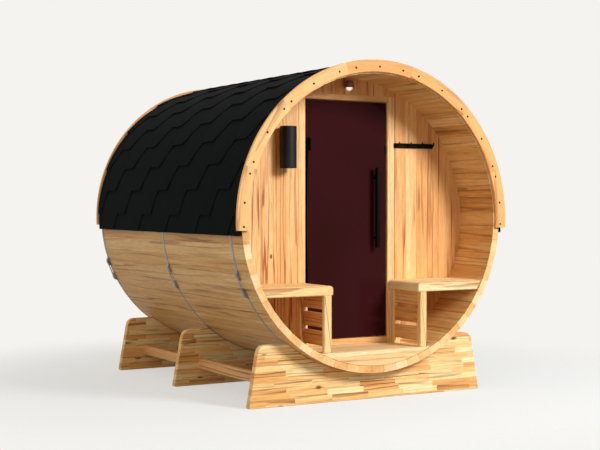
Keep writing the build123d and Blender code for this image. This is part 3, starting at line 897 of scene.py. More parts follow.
@dataclass
class Shingles:
    """Courses of six-sided shingle tabs, laid from both edges up to a row of ridge tabs."""

    base: float = 901.5 * MM
    felt: float = 7.5 * MM
    thickness: float = 5 * MM
    edge_angle: float = 95.2
    first_line: float = 107.4
    courses: int = 11
    exposure: float = 9.55
    pitch: float = 427 * MM
    flat: float = 140 * MM
    stagger: float = 8 * MM
    lap: float = 2.25
    thin_end: float = 0.35
    swell: float = 2.3
    rows: int = 7
    ridge_tabs: int = 12
    ridge_half: float = 8.6
    ridge_lap: float = 1.35
    ridge_lift: float = 2.8
    ridge_step: float = 0.9
    ridge_gap: float = 0.5
    tones: tuple[float, float] = (0.1, 0.4)
    smooth: float = 20.0

    def slope(self) -> float:
        """Length of a tab's slanted side along the barrel."""
        return (self.pitch - 2 * self.flat) / 2

    def lower_edge(self, along: np.ndarray, line: float, phase: float) -> np.ndarray:
        """Angle of a course's lower edge: a trapezium wave between its own line and the one above.

        Args:
            along: places along the barrel.
            line: angle of the tabs' lowest line.
            phase: shift of the tabs along the barrel.

        Returns:
            The angle at each place.
        """
        place = np.abs(np.mod(along - phase + self.pitch / 2, self.pitch) - self.pitch / 2)
        rise = np.clip((place - self.flat / 2) / self.slope(), 0.0, 1.0)
        return line - rise * self.exposure

    def stations(self, phase: float) -> np.ndarray:
        """Places along the barrel where the wave has a corner, and both ends.

        Args:
            phase: shift of the tabs along the barrel.

        Returns:
            The places, from front to back.
        """
        starts = phase + self.pitch * np.arange(-5, 6)
        near, far = self.flat / 2, self.flat / 2 + self.slope()
        corners = np.concatenate([starts + reach for reach in (-far, -near, near, far)])
        inside = np.sort(corners[np.abs(corners) < BARREL.shell_end])
        return np.concatenate(((-BARREL.shell_end,), inside, (BARREL.shell_end,)))

    def course(self, piece: Piece, line: float, phase: float, side: int, tone: float) -> None:
        """Adds one course: from its lower edge it thins upwards under the course above, round the barrel.

        Args:
            piece: roof piece.
            line: angle of the tabs' lowest line, in degrees from the ridge.
            phase: shift of the tabs along the barrel.
            side: -1 for the left slope, 1 for the right.
            tone: shade of this course.
        """
        along = self.stations(phase)
        low = np.minimum(self.lower_edge(along, line, phase), self.edge_angle)
        top = line - self.lap * self.exposure
        share = np.linspace(0.0, 1.0, self.rows)[:, None]
        angle = low + (max(top, self.ridge_gap) - low) * share
        laid = self.base + self.felt
        swell = self.swell * np.clip((angle - top) / (line - top), 0.0, 1.0)
        lift = laid + self.thickness * (self.thin_end + swell)
        skin = round_barrel(lift, angle * side, along)
        foot = round_barrel(np.maximum(lift[0] - self.thickness, laid), angle[0] * side, along)
        under = round_barrel(laid, angle[-1] * side, along)
        rings = np.concatenate((foot[None], skin, under[None]))
        if side > 0:
            rings = rings[:, ::-1]
        piece.sweep(rings.transpose(1, 0, 2), Board(tone))

    def felt_strip(self, piece: Piece, start: float, stop: float, count: int) -> None:
        """Adds the felt under the shingles, as a ring slice along the whole barrel.

        Args:
            piece: roof piece.
            start: angle where it starts.
            stop: angle where it ends, larger than start.
            count: points on each arc.
        """
        top = arc(self.base + self.felt, stop, start, count)
        outline = np.concatenate((top, arc(self.base, start, stop, count)))
        axes = facing_porch(BARREL.shell_end, BARREL.axis_height)
        piece.prism(outline, axes, 2 * BARREL.shell_end, 0.2 * MM, Board(0.2))

    def ridge_tab(self, piece: Piece, start: float, stop: float, tone: float) -> None:
        """Adds one tab bent over the ridge, whose front end lies on the tab before it.

        Args:
            piece: roof piece.
            start: front end of the tab.
            stop: rear end.
            tone: its shade.
        """
        angle = np.linspace(-self.ridge_half, self.ridge_half, 9)
        rings = []
        for y, rise in ((start, self.ridge_step), (stop, 0.0)):
            top = self.base + self.felt + self.thickness * self.ridge_lift + self.thickness * rise
            below = round_barrel(top - self.thickness * self.ridge_step, angle[::-1], y)
            rings.append(np.concatenate((round_barrel(top, angle, y), below)))
        piece.sweep(np.stack(rings), Board(tone))

    def build(self) -> None:
        """Makes the left slope, the right slope and the ridge."""
        draw = np.random.default_rng(5)
        lines = [self.first_line - self.exposure * course for course in range(self.courses)]
        for side, name in ((-1, "left"), (1, "right")):
            piece = Piece(f"shingles_{name}")
            self.felt_strip(piece, *sorted((side * self.ridge_half, side * self.edge_angle)), 60)
            for index, line in enumerate(lines):
                phase = self.stagger if index % 2 else self.stagger + self.pitch / 2
                self.course(piece, line, phase, side, float(draw.uniform(*self.tones)))
            piece.make([SHINGLE], CABIN, "shingle", (f"roof_{name}",), self.smooth)
        ridge = Piece("shingles_ridge")
        self.felt_strip(ridge, -self.ridge_half, self.ridge_half, 16)
        reach = 2 * BARREL.shell_end / self.ridge_tabs
        for index in range(self.ridge_tabs):
            start = -BARREL.shell_end + index * reach
            stop = min(start + self.ridge_lap * reach, BARREL.shell_end)
            self.ridge_tab(ridge, start, stop, float(draw.uniform(*self.tones)))
        ridge.make([SHINGLE], CABIN, "shingle", ("roof_top",), self.smooth)


@dataclass
class Hoops:
    """Strap hoops: each end is folded into a loop, and a bolt through both loops draws the hoop tight."""

    places: tuple[float, ...] = (-919 * MM, 23 * MM, 1043 * MM)
    names: tuple[str, ...] = ("hoop_front", "hoop_middle", "hoop_rear")
    gap_angle: float = -113.7
    loop_near: float = 1.8
    loop_far: float = 5.4
    loop_width: float = 24 * MM
    loop_rise: float = 13 * MM
    loop_lift: float = 2.5 * MM
    strap_radius: float = 901 * MM
    edge: float = 0.8 * MM

    def loop(self, piece: Piece, middle: float, start: float, stop: float) -> None:
        """Adds one folded strap end: over its span it rises by 1 - |s|^3, with s from -1 to 1.

        Args:
            piece: piece that takes it.
            middle: the hoop's place along the barrel.
            start: angle where it starts, in degrees.
            stop: angle where it ends, larger than start.
        """
        count = 11
        rise = self.loop_rise * (1 - np.abs(np.linspace(-1.0, 1.0, count)) ** 3) + self.loop_lift
        turn = np.radians(np.linspace(stop, start, count))
        back = (self.strap_radius + rise)[:, None] * np.stack((np.sin(turn), np.cos(turn)), axis=1)
        outline = np.concatenate((back, arc(self.strap_radius - 0.5 * MM, start, stop, 5)))
        axes = facing_porch(middle + self.loop_width / 2, BARREL.axis_height)
        piece.prism(outline, axes, self.loop_width, self.edge, PLAIN)

    def build(self) -> None:
        """Dresses the straps and the bolts, and folds the loops."""
        for name in (*self.names, "hoop_bolts"):
            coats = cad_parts[name].data.materials
            coats.clear()
            coats.append((BOLT_STEEL if name == "hoop_bolts" else STRAP_STEEL).material())
        loops = Piece("hoop_loops")
        for middle in self.places:
            for near, far in ((-self.loop_far, -self.loop_near), (self.loop_near, self.loop_far)):
                self.loop(loops, middle, self.gap_angle + near, self.gap_angle + far)
        loops.make([STRAP_STEEL], CABIN, "strap_steel")


@dataclass
class Cradle:
    """Foot board of glued strips with a round seat for the barrel."""

    name: str
    front: float
    seed: int
    thickness: float = 40 * MM
    bottom_half: float = 809 * MM
    top_half: float = 745 * MM
    height: float = 357 * MM
    corner: float = 50 * MM
    tip: float = 10 * MM
    edge: float = 3 * MM
    seat: float = 899.6 * MM

    def outline(self) -> np.ndarray:
        """Outline, anticlockwise from the lower right: slanted ends, rounded shoulders and an arc as seat.

        Returns:
            The outline, mirrored left to right.
        """
        slope = (self.bottom_half - self.top_half) / self.height
        run = math.hypot(slope, 1.0)
        angle = math.degrees(math.asin(BARREL.half_width(self.height, self.seat) / self.seat))
        seat = arc(self.seat, 180.0 - angle, 180.0 + angle, 40, BARREL.axis_height)
        tip, foot = self.tip, self.bottom_half
        lower = np.array([(foot - tip, 0.0), (foot - 0.25 * tip, 0.3 * tip), (foot - slope * tip, tip)])
        before = (self.top_half + slope * self.corner / run, self.height - self.corner / run)
        shoulder = bend(before, (self.top_half, self.height), (self.top_half - self.corner, self.height), 10)
        right = np.concatenate((lower, shoulder))
        return np.concatenate((right, seat, right[::-1] * (-1.0, 1.0)))

    def build(self) -> None:
        """Makes the board."""
        piece = Piece(self.name + "_board")
        board = Stack(self.seed).board((0.0, self.front, 0.15), 0.42, 0.05)
        axes = facing_porch(self.front + self.thickness)
        piece.prism(self.outline(), axes, self.thickness, self.edge, board)
        piece.make([CRADLE_PINE], CABIN, "cradle_pine", (self.name,))


@dataclass
class Stretchers:
    """Beams between the cradles, near the ground on both sides."""

    fronts: tuple[float, ...] = (-976 * MM, 34 * MM, 938 * MM)
    cradle: float = 40 * MM
    width: float = 40 * MM
    height: float = 62 * MM
    bottom: float = 105 * MM
    outside: float = 640 * MM
    edge: float = 3 * MM
    stack: Stack = field(default_factory=lambda: Stack(41))

    def build(self) -> None:
        """Makes both sides."""
        for side, name in ((-1, "left"), (1, "right")):
            piece = Piece(f"beams_{name}")
            middle = side * (self.outside - self.width / 2)
            left, right = middle - self.width / 2, middle + self.width / 2
            section = oblong(left, right, self.bottom, self.bottom + self.height)
            for start, stop in zip(self.fronts[:-1], self.fronts[1:]):
                board = self.stack.board((middle, 0.0, self.bottom), 0.5, 0.2)
                length = stop - start - self.cradle
                piece.prism(softened(section, self.edge), facing_porch(stop), length, 0.2 * MM, board)
            piece.make([BEAM_PINE], CABIN, "cradle_pine", (f"stretchers_{name}",))


@dataclass
class EndWalls:
    """Round end walls of upright boards with bevelled joints."""

    radius: float = 865 * MM
    pitch: float = 84.6 * MM
    side_boards: int = 6
    side_edge: float = 858 * MM
    joint: float = 0.3 * MM
    bevel: float = 1.5 * MM
    frame_half: float = 345 * MM
    frame_top: float = 1818 * MM
    door_boards: int = 8
    rear_boards: int = 20
    rear_half: float = 846 * MM
    rear_edge: float = 860 * MM
    columns: int = 7
    stack: Stack = field(default_factory=lambda: Stack(7))

    def board(self, piece: Piece, back: float, left: float, right: float, tone: float = 0.4,
              bottom: float | None = None, top: float | None = None) -> None:
        """Adds one upright board: z = axis -+ root of r^2 - x^2 above and below, or a level line.

        Args:
            piece: piece that takes it.
            back: place of its back face.
            left: left edge.
            right: right edge.
            tone: mean tone.
            bottom: height of a level lower end.
            top: height of a level upper end.
        """
        columns = np.linspace(left + self.joint / 2, right - self.joint / 2, self.columns)
        reach = np.sqrt(np.maximum(self.radius ** 2 - columns ** 2, 0.0))
        low = BARREL.axis_height - reach if bottom is None else np.full_like(columns, bottom)
        high = BARREL.axis_height + reach if top is None else np.full_like(columns, top)
        outline = np.concatenate((np.stack((columns, low), axis=1), np.stack((columns, high), axis=1)[::-1]))
        cut = self.stack.board(((left + right) / 2, back, 1.0), tone, 0.2)
        piece.prism(outline, facing_porch(back), BARREL.thickness, self.bevel, cut)

    def build(self) -> None:
        """Makes the front wall's four parts and the back wall."""
        for side, name in ((-1, "front_wall_left"), (1, "front_wall_right")):
            piece = Piece(name + "_boards")
            edges = [self.frame_half + self.pitch * board for board in range(self.side_boards)]
            edges.append(self.side_edge)
            for near, far in zip(edges[:-1], edges[1:]):
                left, right = sorted((side * near, side * far))
                # The right wall's boards are drawn browner than the left's: painted shade on the right,
                # painted light on the left.
                self.board(piece, BARREL.wall_back, left, right, 0.4 + 0.12 * side)
            piece.make([WALL_PINE], CABIN, "wall_pine", (name,))
        header, foot = Piece("front_wall_header_boards"), Piece("front_wall_foot_boards")
        steps = np.linspace(-self.frame_half, self.frame_half, self.door_boards + 1)
        for left, right in zip(steps[:-1], steps[1:]):
            # Header boards are drawn browner than the foot boards: painted shade under the arch.
            self.board(header, BARREL.wall_back, float(left), float(right), 0.6, bottom=self.frame_top)
            self.board(foot, BARREL.wall_back, float(left), float(right), top=BARREL.floor_height)
        header.make([WALL_PINE], CABIN, "wall_pine", ("front_wall_header",))
        foot.make([WALL_PINE], CABIN, "wall_pine", ("front_wall_foot",))
        rear = Piece("back_wall_boards")
        steps = np.linspace(-self.rear_half, self.rear_half, self.rear_boards + 1)
        steps[0], steps[-1] = -self.rear_edge, self.rear_edge
        for left, right in zip(steps[:-1], steps[1:]):
            self.board(rear, BARREL.rear_face, float(left), float(right))
        rear.make([WALL_PINE], CABIN, "wall_pine", ("back_wall",))


@dataclass
class Doorway:
    """Jambs, head and sill, with the stop strips behind the glass."""

    half: float = 295 * MM
    bottom: float = 333 * MM
    top: float = 1784 * MM
    jamb: float = 50 * MM
    head: float = 34 * MM
    stop_reach: float = 14 * MM
    stop_face: float = -697.5 * MM
    edge: float = 2 * MM
    stop_edge: float = 1 * MM
    corner: float = 0.5 * MM
    gap: float = 0.4 * MM
    stack: Stack = field(default_factory=lambda: Stack(17))

    def bars(self, piece: Piece, sides: tuple[float, float], span: tuple[float, float],
             rails: list[tuple[float, float]], depth: float, edge: float, tone: float,
             spreads: tuple[float, float]) -> None:
        """Adds two uprights and the level rails between them, as rectangles carried along the depth.

        Args:
            piece: piece that takes them.
            sides: near and far edge of an upright, from the middle of the doorway.
            span: bottom and top of the uprights.
            rails: bottom and top of each rail.
            depth: thickness of all.
            edge: size of their softened edges.
            tone: mean tone.
            spreads: spread of the tone in the uprights and in the rails.
        """
        axes = facing_porch(BARREL.wall_back)
        for side in (-1, 1):
            left, right = sorted((side * sides[0], side * sides[1]))
            board = self.stack.board((side * 0.3, BARREL.wall_face, 1.0), tone, spreads[0])
            piece.prism(softened(oblong(left, right, *span), self.corner), axes, depth, edge, board)
        half = min(sides) - self.gap
        for low, high in rails:
            board = self.stack.board((0.0, BARREL.wall_face, low), tone, spreads[1])
            piece.prism(softened(oblong(-half, half, low, high), self.corner), axes, depth, edge, board, 1)

    def build(self) -> None:
        """Makes the frame and the stops."""
        frame_top = self.top + self.head
        bars = Piece("door_frame_bars")
        self.bars(bars, (self.half, self.half + self.jamb), (BARREL.floor_height, frame_top),
                  [(BARREL.floor_height, self.bottom), (self.top, frame_top)],
                  BARREL.thickness, self.edge, 0.3, (0.12, 0.15))
        # The rails take the darker copy of the frame's wood: painted shade.
        bars.make([FRAME_PINE, HEAD_PINE_PAINTED_SHADE], CABIN, "frame_pine", ("door_frame",))
        strips = Piece("door_stop_strips")
        rails = [(low, low + self.stop_reach) for low in (self.bottom, self.top - self.stop_reach)]
        self.bars(strips, (self.half, self.half - self.stop_reach), (self.bottom, self.top), rails,
                  BARREL.wall_back - self.stop_face, self.stop_edge, 0.5, (0.1, 0.1))
        # The stop rails also take the darker copy: painted shade.
        strips.make([FRAME_PINE, HEAD_PINE_PAINTED_SHADE], CABIN, "frame_pine", ("door_stops",))


@dataclass
class Floors:
    """Deck and cabin floor of boards laid across, and the board under the deck's edge."""

    thickness: float = 28 * MM
    deck_front: float = -1060 * MM
    width: float = 92 * MM
    joint: float = 0.3 * MM
    edge: float = 2 * MM
    kick: float = 26 * MM
    stack: Stack = field(default_factory=lambda: Stack(29))

    def boards(self, name: str, front: float, back: float, slot_node: str) -> None:
        """Makes one floor: each board's outline is its section in X and Z, carried along its width.

        Args:
            name: name of the piece.
            front: front edge of the floor.
            back: back edge.
            slot_node: CAD node that it stands for.
        """
        piece = Piece(name)
        lines = np.linspace(front, back, max(1, round((back - front) / self.width)) + 1)
        high, low = BARREL.floor_height, BARREL.floor_height - self.thickness
        half_high, half_low = (BARREL.half_width(height, BARREL.lining) for height in (high, low))
        outline = np.array([(-half_low, low), (half_low, low), (half_high, high), (-half_high, high)])
        for near, far in zip(lines[:-1], lines[1:]):
            board = self.stack.board((0.0, near, high), 0.35, 0.25)
            axes = facing_porch(float(far) - self.joint / 2)
            piece.prism(outline, axes, float(far - near) - self.joint, self.edge, board)
        piece.make([FLOOR_PINE], CABIN, "floor_pine", (slot_node,))

    def build(self) -> None:
        """Makes both floors and the front board, a segment of a circle under the deck."""
        self.boards("porch_deck_boards", self.deck_front, BARREL.wall_face, "porch_deck")
        self.boards("cabin_floor_boards", BARREL.wall_back, BARREL.rear_front, "cabin_floor")
        piece = Piece("porch_front_panel")
        high = BARREL.floor_height - self.thickness
        angle = math.degrees(math.asin(BARREL.half_width(high, BARREL.lining) / BARREL.lining))
        outline = arc(BARREL.lining, 180 + angle, 180 - angle, 36, BARREL.axis_height)
        board = self.stack.board((0.0, self.deck_front, 0.25), 0.3, 0.1)
        piece.prism(outline, facing_porch(self.deck_front + self.kick), self.kick, self.edge, board)
        piece.make([FLOOR_PINE], CABIN, "floor_pine", ("porch_front_board",))


@dataclass
class Bench:
    """Porch bench: a thick seat with a rounded nose, two legs and three slats between them."""

    side: int
    name: str
    inside: float = 308 * MM
    front: float = -1052 * MM
    seat_height: float = 684 * MM
    thickness: float = 56 * MM
    nose: float = 10 * MM
    nose_radius: float = 26 * MM
    leg: float = 52 * MM
    leg_corner: float = 1 * MM
    front_depth: float = 30 * MM
    rear_depth: float = 50 * MM
    slats: int = 3
    slat_height: float = 85 * MM
    slat_gap: float = 21 * MM
    slat_thickness: float = 18 * MM
    set_back: float = 8 * MM
    edge: float = 5 * MM
    slat_edge: float = 3 * MM

    def seat_outline(self) -> np.ndarray:
        """Seat section, anticlockwise for the right side: cut to the barrel, with a rounded nose.

        Returns:
            The outline in X and Z.
        """
        high, low = self.seat_height, self.seat_height - self.thickness
        tip = self.inside - self.nose
        heights = np.linspace(low, high, 6)
        wall = np.stack((np.sqrt(BARREL.lining ** 2 - (heights - BARREL.axis_height) ** 2), heights), axis=1)
        nose = bend((tip + self.nose_radius, high), (tip, high), (tip, high - self.nose_radius), 9)
        lower = np.array([(tip, low + 12 * MM), (tip + 2 * MM, low + 4 * MM), (tip + 6 * MM, low)])
        return np.concatenate((wall, nose, lower))

    def mirrored(self, outline: np.ndarray) -> np.ndarray:
        """Turns a right-hand outline into this side's, keeping it anticlockwise."""
        return outline if self.side > 0 else outline[::-1] * (-1.0, 1.0)

    def build(self) -> None:
        """Makes the seat, the legs and the slats."""
        stack = Stack(53 + self.side)
        seat = Piece(f"bench_top_{self.name}")
        # The seat's tone is 0.45 on the left and 0.15 on the right: painted shade on the left seat, painted
        # light on the right.
        board = stack.board((self.side * 0.5, self.front, self.seat_height), 0.3 - 0.15 * self.side, 0.05)
        length = BARREL.wall_face - self.front
        outline = self.mirrored(self.seat_outline())
        seat.prism(outline, facing_porch(BARREL.wall_face), length, self.edge, board)
        seat.make([BENCH_PINE], CABIN, "bench_pine", (f"bench_seat_{self.name}",))
        piece = Piece(f"bench_frame_{self.name}")
        under = self.seat_height - self.thickness
        corners = oblong(self.inside, self.inside + self.leg, BARREL.floor_height, under)
        leg = self.mirrored(softened(corners, self.leg_corner, 2))
        for back, depth, edge in ((self.front + self.front_depth, self.front_depth, self.edge),
                                  (BARREL.wall_face, self.rear_depth, self.slat_edge)):
            board = stack.board((self.side * 0.33, back, 0.5), 0.35, 0.1)
            piece.prism(leg, facing_porch(back), depth, edge, board)
        axes = facing_porch(BARREL.wall_face - self.rear_depth)
        near = self.inside + self.set_back
        for row in range(self.slats):
            top = under - row * (self.slat_height + self.slat_gap)
            corners = oblong(near, near + self.slat_thickness, top - self.slat_height, top)
            board = stack.board((self.side * 0.33, 0.0, top), 0.55, 0.25)
            slat = self.mirrored(softened(corners, self.slat_edge))
            piece.prism(slat, axes, length - self.front_depth - self.rear_depth, 0.2 * MM, board, 1)
        piece.make([LEG_PINE, SLAT_PINE], CABIN, "bench_pine", (f"bench_side_{self.name}",))


@dataclass
class GlassDoor:
    """Frameless leaf with its hinges, bar handle and catch."""

    half: float = 295 * MM
    gap: float = 5.5 * MM
    low: float = 333 * MM
    high: float = 1784 * MM
    face: float = -712 * MM
    thickness: float = 8 * MM
    corner: float = 6 * MM
    notch_corner: float = 0.6 * MM
    arris: float = 0.8 * MM
    fine_arris: float = 0.6 * MM
    web_arris: float = 0.3 * MM
    hinge_heights: tuple[float, ...] = (604 * MM, 1513 * MM)
    hinge_x: float = -284 * MM
    hinge_y: float = -718 * MM
    clamp_height: float = 57 * MM
    plate_height: float = 80 * MM
    plate: float = 3 * MM
    plate_depth: float = 22 * MM
    leaf: float = 4 * MM
    reach: float = 32 * MM
    web: float = 12 * MM
    rear_start: float = 8 * MM
    notch_gap: float = 0.5 * MM
    knuckle: float = 8 * MM
    knuckle_gap: float = 1 * MM
    pin: float = 2 * MM
    handle_x: float = 205 * MM
    handle_middle: float = 1131 * MM
    handle_length: float = 492 * MM
    handle_radius: float = 16.5 * MM
    handle_edge: float = 2.5 * MM
    standoff: float = 40 * MM
    post_radius: float = 7 * MM
    post_inset: float = 60 * MM
    cap_radius: float = 11 * MM
    cap: float = 4 * MM
    cap_edge: float = 1.2 * MM
    catch_width: float = 11 * MM
    catch_low: float = 1467 * MM
    catch_height: float = 44 * MM
    catch_plate: float = 3 * MM

    def pane(self) -> None:
        """Makes the glass: a rounded rectangle, notched at the hinges, its edges ground."""
        left, right = -self.half + self.gap, self.half - self.gap
        notch = self.hinge_x + self.web + self.notch_gap
        reach = self.clamp_height / 2 + self.notch_gap
        side = []
        for height in sorted(self.hinge_heights, reverse=True):
            above, below = height + reach, height - reach
            side += [(left, above), (notch, above), (notch, below), (left, below)]
        corners = np.concatenate((oblong(left, right, self.low + self.gap, self.high - self.gap), side))
        sizes = np.array([self.corner] * 4 + [self.notch_corner] * len(side))
        piece = Piece("door_pane")
        axes = facing_porch(self.face + self.thickness)
        piece.prism(softened(corners, sizes, 5), axes, self.thickness, self.arris, PLAIN)
        piece.make([GLASS], DOOR, "bronze_glass", ("door_glass",))

    @staticmethod
    def block(piece: Piece, x: tuple[float, float], y: tuple[float, float], low: float, height: float,
              edge: float) -> None:
        """Adds an upright block: a rectangle seen from above, carried upwards.

        Args:
            piece: piece that takes it.
            x: left and right.
            y: front and back.
            low: its bottom.
            height: its height.
            edge: size of its softened edges.
        """
        axes = Axes((0.0, 0.0, low), second=(0.0, 1.0, 0.0))
        piece.prism(softened(oblong(*x, *y), edge), axes, height, edge, PLAIN)

    def jamb_side(self, piece: Piece, height: float) -> None:
        """Adds the part of one hinge that is screwed to the jamb: plate, outer knuckles and pin.

        Args:
            piece: piece that takes it.
            height: height of the hinge's middle.
        """
        bottom, half = height - self.plate_height / 2, self.knuckle / 2
        plate = (-self.half, -self.half + self.plate)
        deep = (BARREL.wall_face, BARREL.wall_face + self.plate_depth)
        self.block(piece, plate, deep, bottom, self.plate_height, self.fine_arris)
        tall = (self.plate_height - self.clamp_height) / 2 - self.knuckle_gap
        across = (-self.half + self.plate * 0.5, self.hinge_x + half)
        for start in (bottom, bottom + self.plate_height - tall):
            self.block(piece, across, (self.hinge_y - half, self.hinge_y + half), start, tall, self.arris)
        pin = np.array([(self.pin, 0.0), (self.pin, self.plate_height)])
        piece.lathe(pin, (self.hinge_x, self.hinge_y, bottom), Run.ALONG_Z, 20)

    def glass_side(self, piece: Piece, height: float) -> None:
        """Adds the part of one hinge that clamps the glass: knuckle, its tie, front leaf, web, rear leaf.

        Args:
            piece: piece that takes it.
            height: height of the hinge's middle.
        """
        bottom, half = height - self.plate_height / 2, self.knuckle / 2
        low, tall, x, face = height - self.clamp_height / 2, self.clamp_height, self.hinge_x, self.face
        back = face + self.thickness
        start, front, stop = x + half + self.knuckle_gap, face - self.leaf, x + self.reach
        parts = (
            ((x - half, x + half), (self.hinge_y - half, self.hinge_y + half), low, tall, self.arris),
            ((x - 1 * MM, start + 2 * MM), (front + 0.5 * MM, face), low, tall, self.fine_arris),
            ((start, stop), (front, face), bottom + 1 * MM, self.plate_height - 2 * MM, self.arris),
            ((x + 1 * MM, x + self.web), (face, back), low, tall, self.web_arris),
            ((x + self.rear_start, stop), (back, back + self.leaf), low, tall, self.arris),
        )
        for part in parts:
            self.block(piece, *part)

    def hinges(self) -> None:
        """Makes both hinges, in one piece for the jamb and one for the leaf."""
        plates, clamps = Piece("hinge_plate_pair"), Piece("hinge_clamp_pair")
        for height in self.hinge_heights:
            self.jamb_side(plates, height)
            self.glass_side(clamps, height)
        plates.make([HINGE_STEEL], CABIN, "black_steel", ("hinge_plates",))
        clamps.make([HINGE_STEEL], DOOR, "black_steel", ("hinge_clamps",))

    def handle(self) -> None:
        """Makes the bar, its ends rounded by a quarter circle, the posts and the caps behind the glass."""
        piece = Piece("door_bar_handle")
        soft, half = self.handle_edge, self.handle_length / 2
        quarter = np.radians(np.linspace(0, 90, 6))
        flat = (self.handle_radius - soft, half - soft)
        top = flat + soft * np.stack((np.cos(quarter), np.sin(quarter)), axis=1)
        bar = np.concatenate((top[::-1] * (1.0, -1.0), top))
        piece.lathe(bar, (self.handle_x, self.face - self.standoff, self.handle_middle), Run.ALONG_Z, 48)
        foot, rim = self.post_radius + self.cap_edge, self.cap_radius - self.cap_edge
        post = np.array([(self.post_radius, -self.standoff), (self.post_radius, -1.5 * MM), (foot, 0.0)])
        cap = np.array([(self.cap_radius, 0.0), (self.cap_radius, self.cap - self.cap_edge), (rim, self.cap)])
        for way in (-1, 1):
            height = self.handle_middle + way * (half - self.post_inset)
            piece.lathe(post, (self.handle_x, self.face, height), Run.ALONG_Y, 28)
            piece.lathe(cap, (self.handle_x, self.face + self.thickness, height), Run.ALONG_Y, 28)
        piece.make([BLACK_STEEL], DOOR, "black_steel", ("door_handle",))

    def catch(self) -> None:
        """Makes the catch plate at the free edge."""
        piece = Piece("door_catch_plate")
        right = self.half - self.gap
        self.block(piece, (right - self.catch_width, right), (self.face - self.catch_plate, self.face),
                   self.catch_low, self.catch_height, self.arris)
        piece.make([BLACK_STEEL], DOOR, "black_steel", ("door_catch",))

    def build(self) -> None:
        """Makes the whole leaf."""
        self.pane()
        self.hinges()
        self.handle()
        self.catch()


@dataclass
class WallLamp:
    """Upright cylinder lamp on a short bracket."""

    x: float = -446 * MM
    middle: float = 1488 * MM
    height: float = 246 * MM
    radius: float = 49 * MM
    standoff: float = 6 * MM
    plate: float = 5 * MM
    wall: float = 2.5 * MM
    recess: float = 30 * MM
    edge: float = 0.8 * MM

    def bracket(self, piece: Piece, half: tuple[float, float], off: float, corner: float, depth: float,
                edge: float) -> None:
        """Adds one block of the bracket, from the wall outwards.

        Args:
            piece: piece that takes it.
            half: half its width and half its height.
            off: how far it stands to the right of the lamp's middle.
            corner: size of its rounded corners.
            depth: how far it stands out.
            edge: size of its softened edges.
        """
        outline = oblong(-half[0], half[0], -half[1], half[1]) + (self.x + off, self.middle)
        piece.prism(softened(outline, corner, 4), facing_porch(BARREL.wall_face), depth, edge, PLAIN)

    def build(self) -> None:
        """Makes the shell with its open ends, the lens inside each and the bracket."""
        piece = Piece("wall_lamp_body")
        y = BARREL.wall_face - self.plate - self.standoff - self.radius
        half, r, e = self.height / 2, self.radius, self.edge
        inside, lens = r - self.wall, self.recess - half
        lower = np.array([(inside - 1 * MM, lens), (inside, lens), (inside, -half + e), (inside + e, -half),
                          (r - e, -half), (r, -half + e)])
        profile = np.concatenate((lower, lower[::-1] * (1.0, -1.0)))
        piece.lathe(profile, (self.x, y, self.middle), Run.ALONG_Z, 64)
        self.bracket(piece, (14 * MM, 60 * MM), 12 * MM, 3 * MM, self.plate, 1 * MM)
        reach = self.plate + self.standoff + self.radius * 0.3
        self.bracket(piece, (10 * MM, 30 * MM), 4 * MM, 2 * MM, reach, 0.5 * MM)
        piece.make([LAMP_BLACK], CABIN, "lamp_black", ("wall_lamp",))


@dataclass
class PorchLight:
    """Bronzed cap over an opal globe, on a short neck."""

    x: float = -8 * MM
    middle: float = 1868 * MM
    height: float = 63 * MM
    cap_radius: float = 28 * MM
    globe_radius: float = 22 * MM
    axis_out: float = 34 * MM
    shoulder: float = 12 * MM
    neck: float = 11 * MM
    collar: float = 4 * MM
    edge: float = 1 * MM

    def build(self) -> None:
        """Makes the cap with its quarter-round shoulder, the globe as half a ball, and the neck."""
        piece = Piece("porch_light_body")
        y = BARREL.wall_face - self.axis_out
        rim = self.middle + self.globe_radius - self.height / 2
        crown = self.middle + self.height / 2
        tall, flat, e = crown - rim, self.cap_radius - self.shoulder, self.edge
        quarter = np.radians(np.linspace(0, 90, 8))
        bow = self.shoulder * np.stack((np.cos(quarter), np.sin(quarter)), axis=1)
        dome = bow + (flat, tall - self.shoulder)
        foot = [(self.globe_radius - e, e), (self.globe_radius + e, 0.0), (self.cap_radius - e, 0.0),
                (self.cap_radius, e)]
        cap = np.concatenate((foot, dome, [(flat * 0.5, tall)]))
        piece.lathe(cap, (self.x, y, rim), Run.ALONG_Z, 40)
        fall = np.radians(np.linspace(4, 90, 14))
        ball = self.globe_radius * np.stack((np.sin(fall), -np.cos(fall)), axis=1)
        globe = np.concatenate((ball, [(self.globe_radius, 2 * MM)]))
        piece.lathe(globe, (self.x, y, rim), Run.ALONG_Z, 40, 1)
        wide = self.neck + self.collar
        neck = np.array([(self.neck, -self.axis_out), (self.neck, -3 * MM), (wide, -2 * MM), (wide, 0.0)])
        piece.lathe(neck, (self.x, BARREL.wall_face, (rim + crown) / 2), Run.ALONG_Y, 28)
        piece.make([CAP_BRONZE, OPAL], CABIN, "light_dome", ("porch_light",))


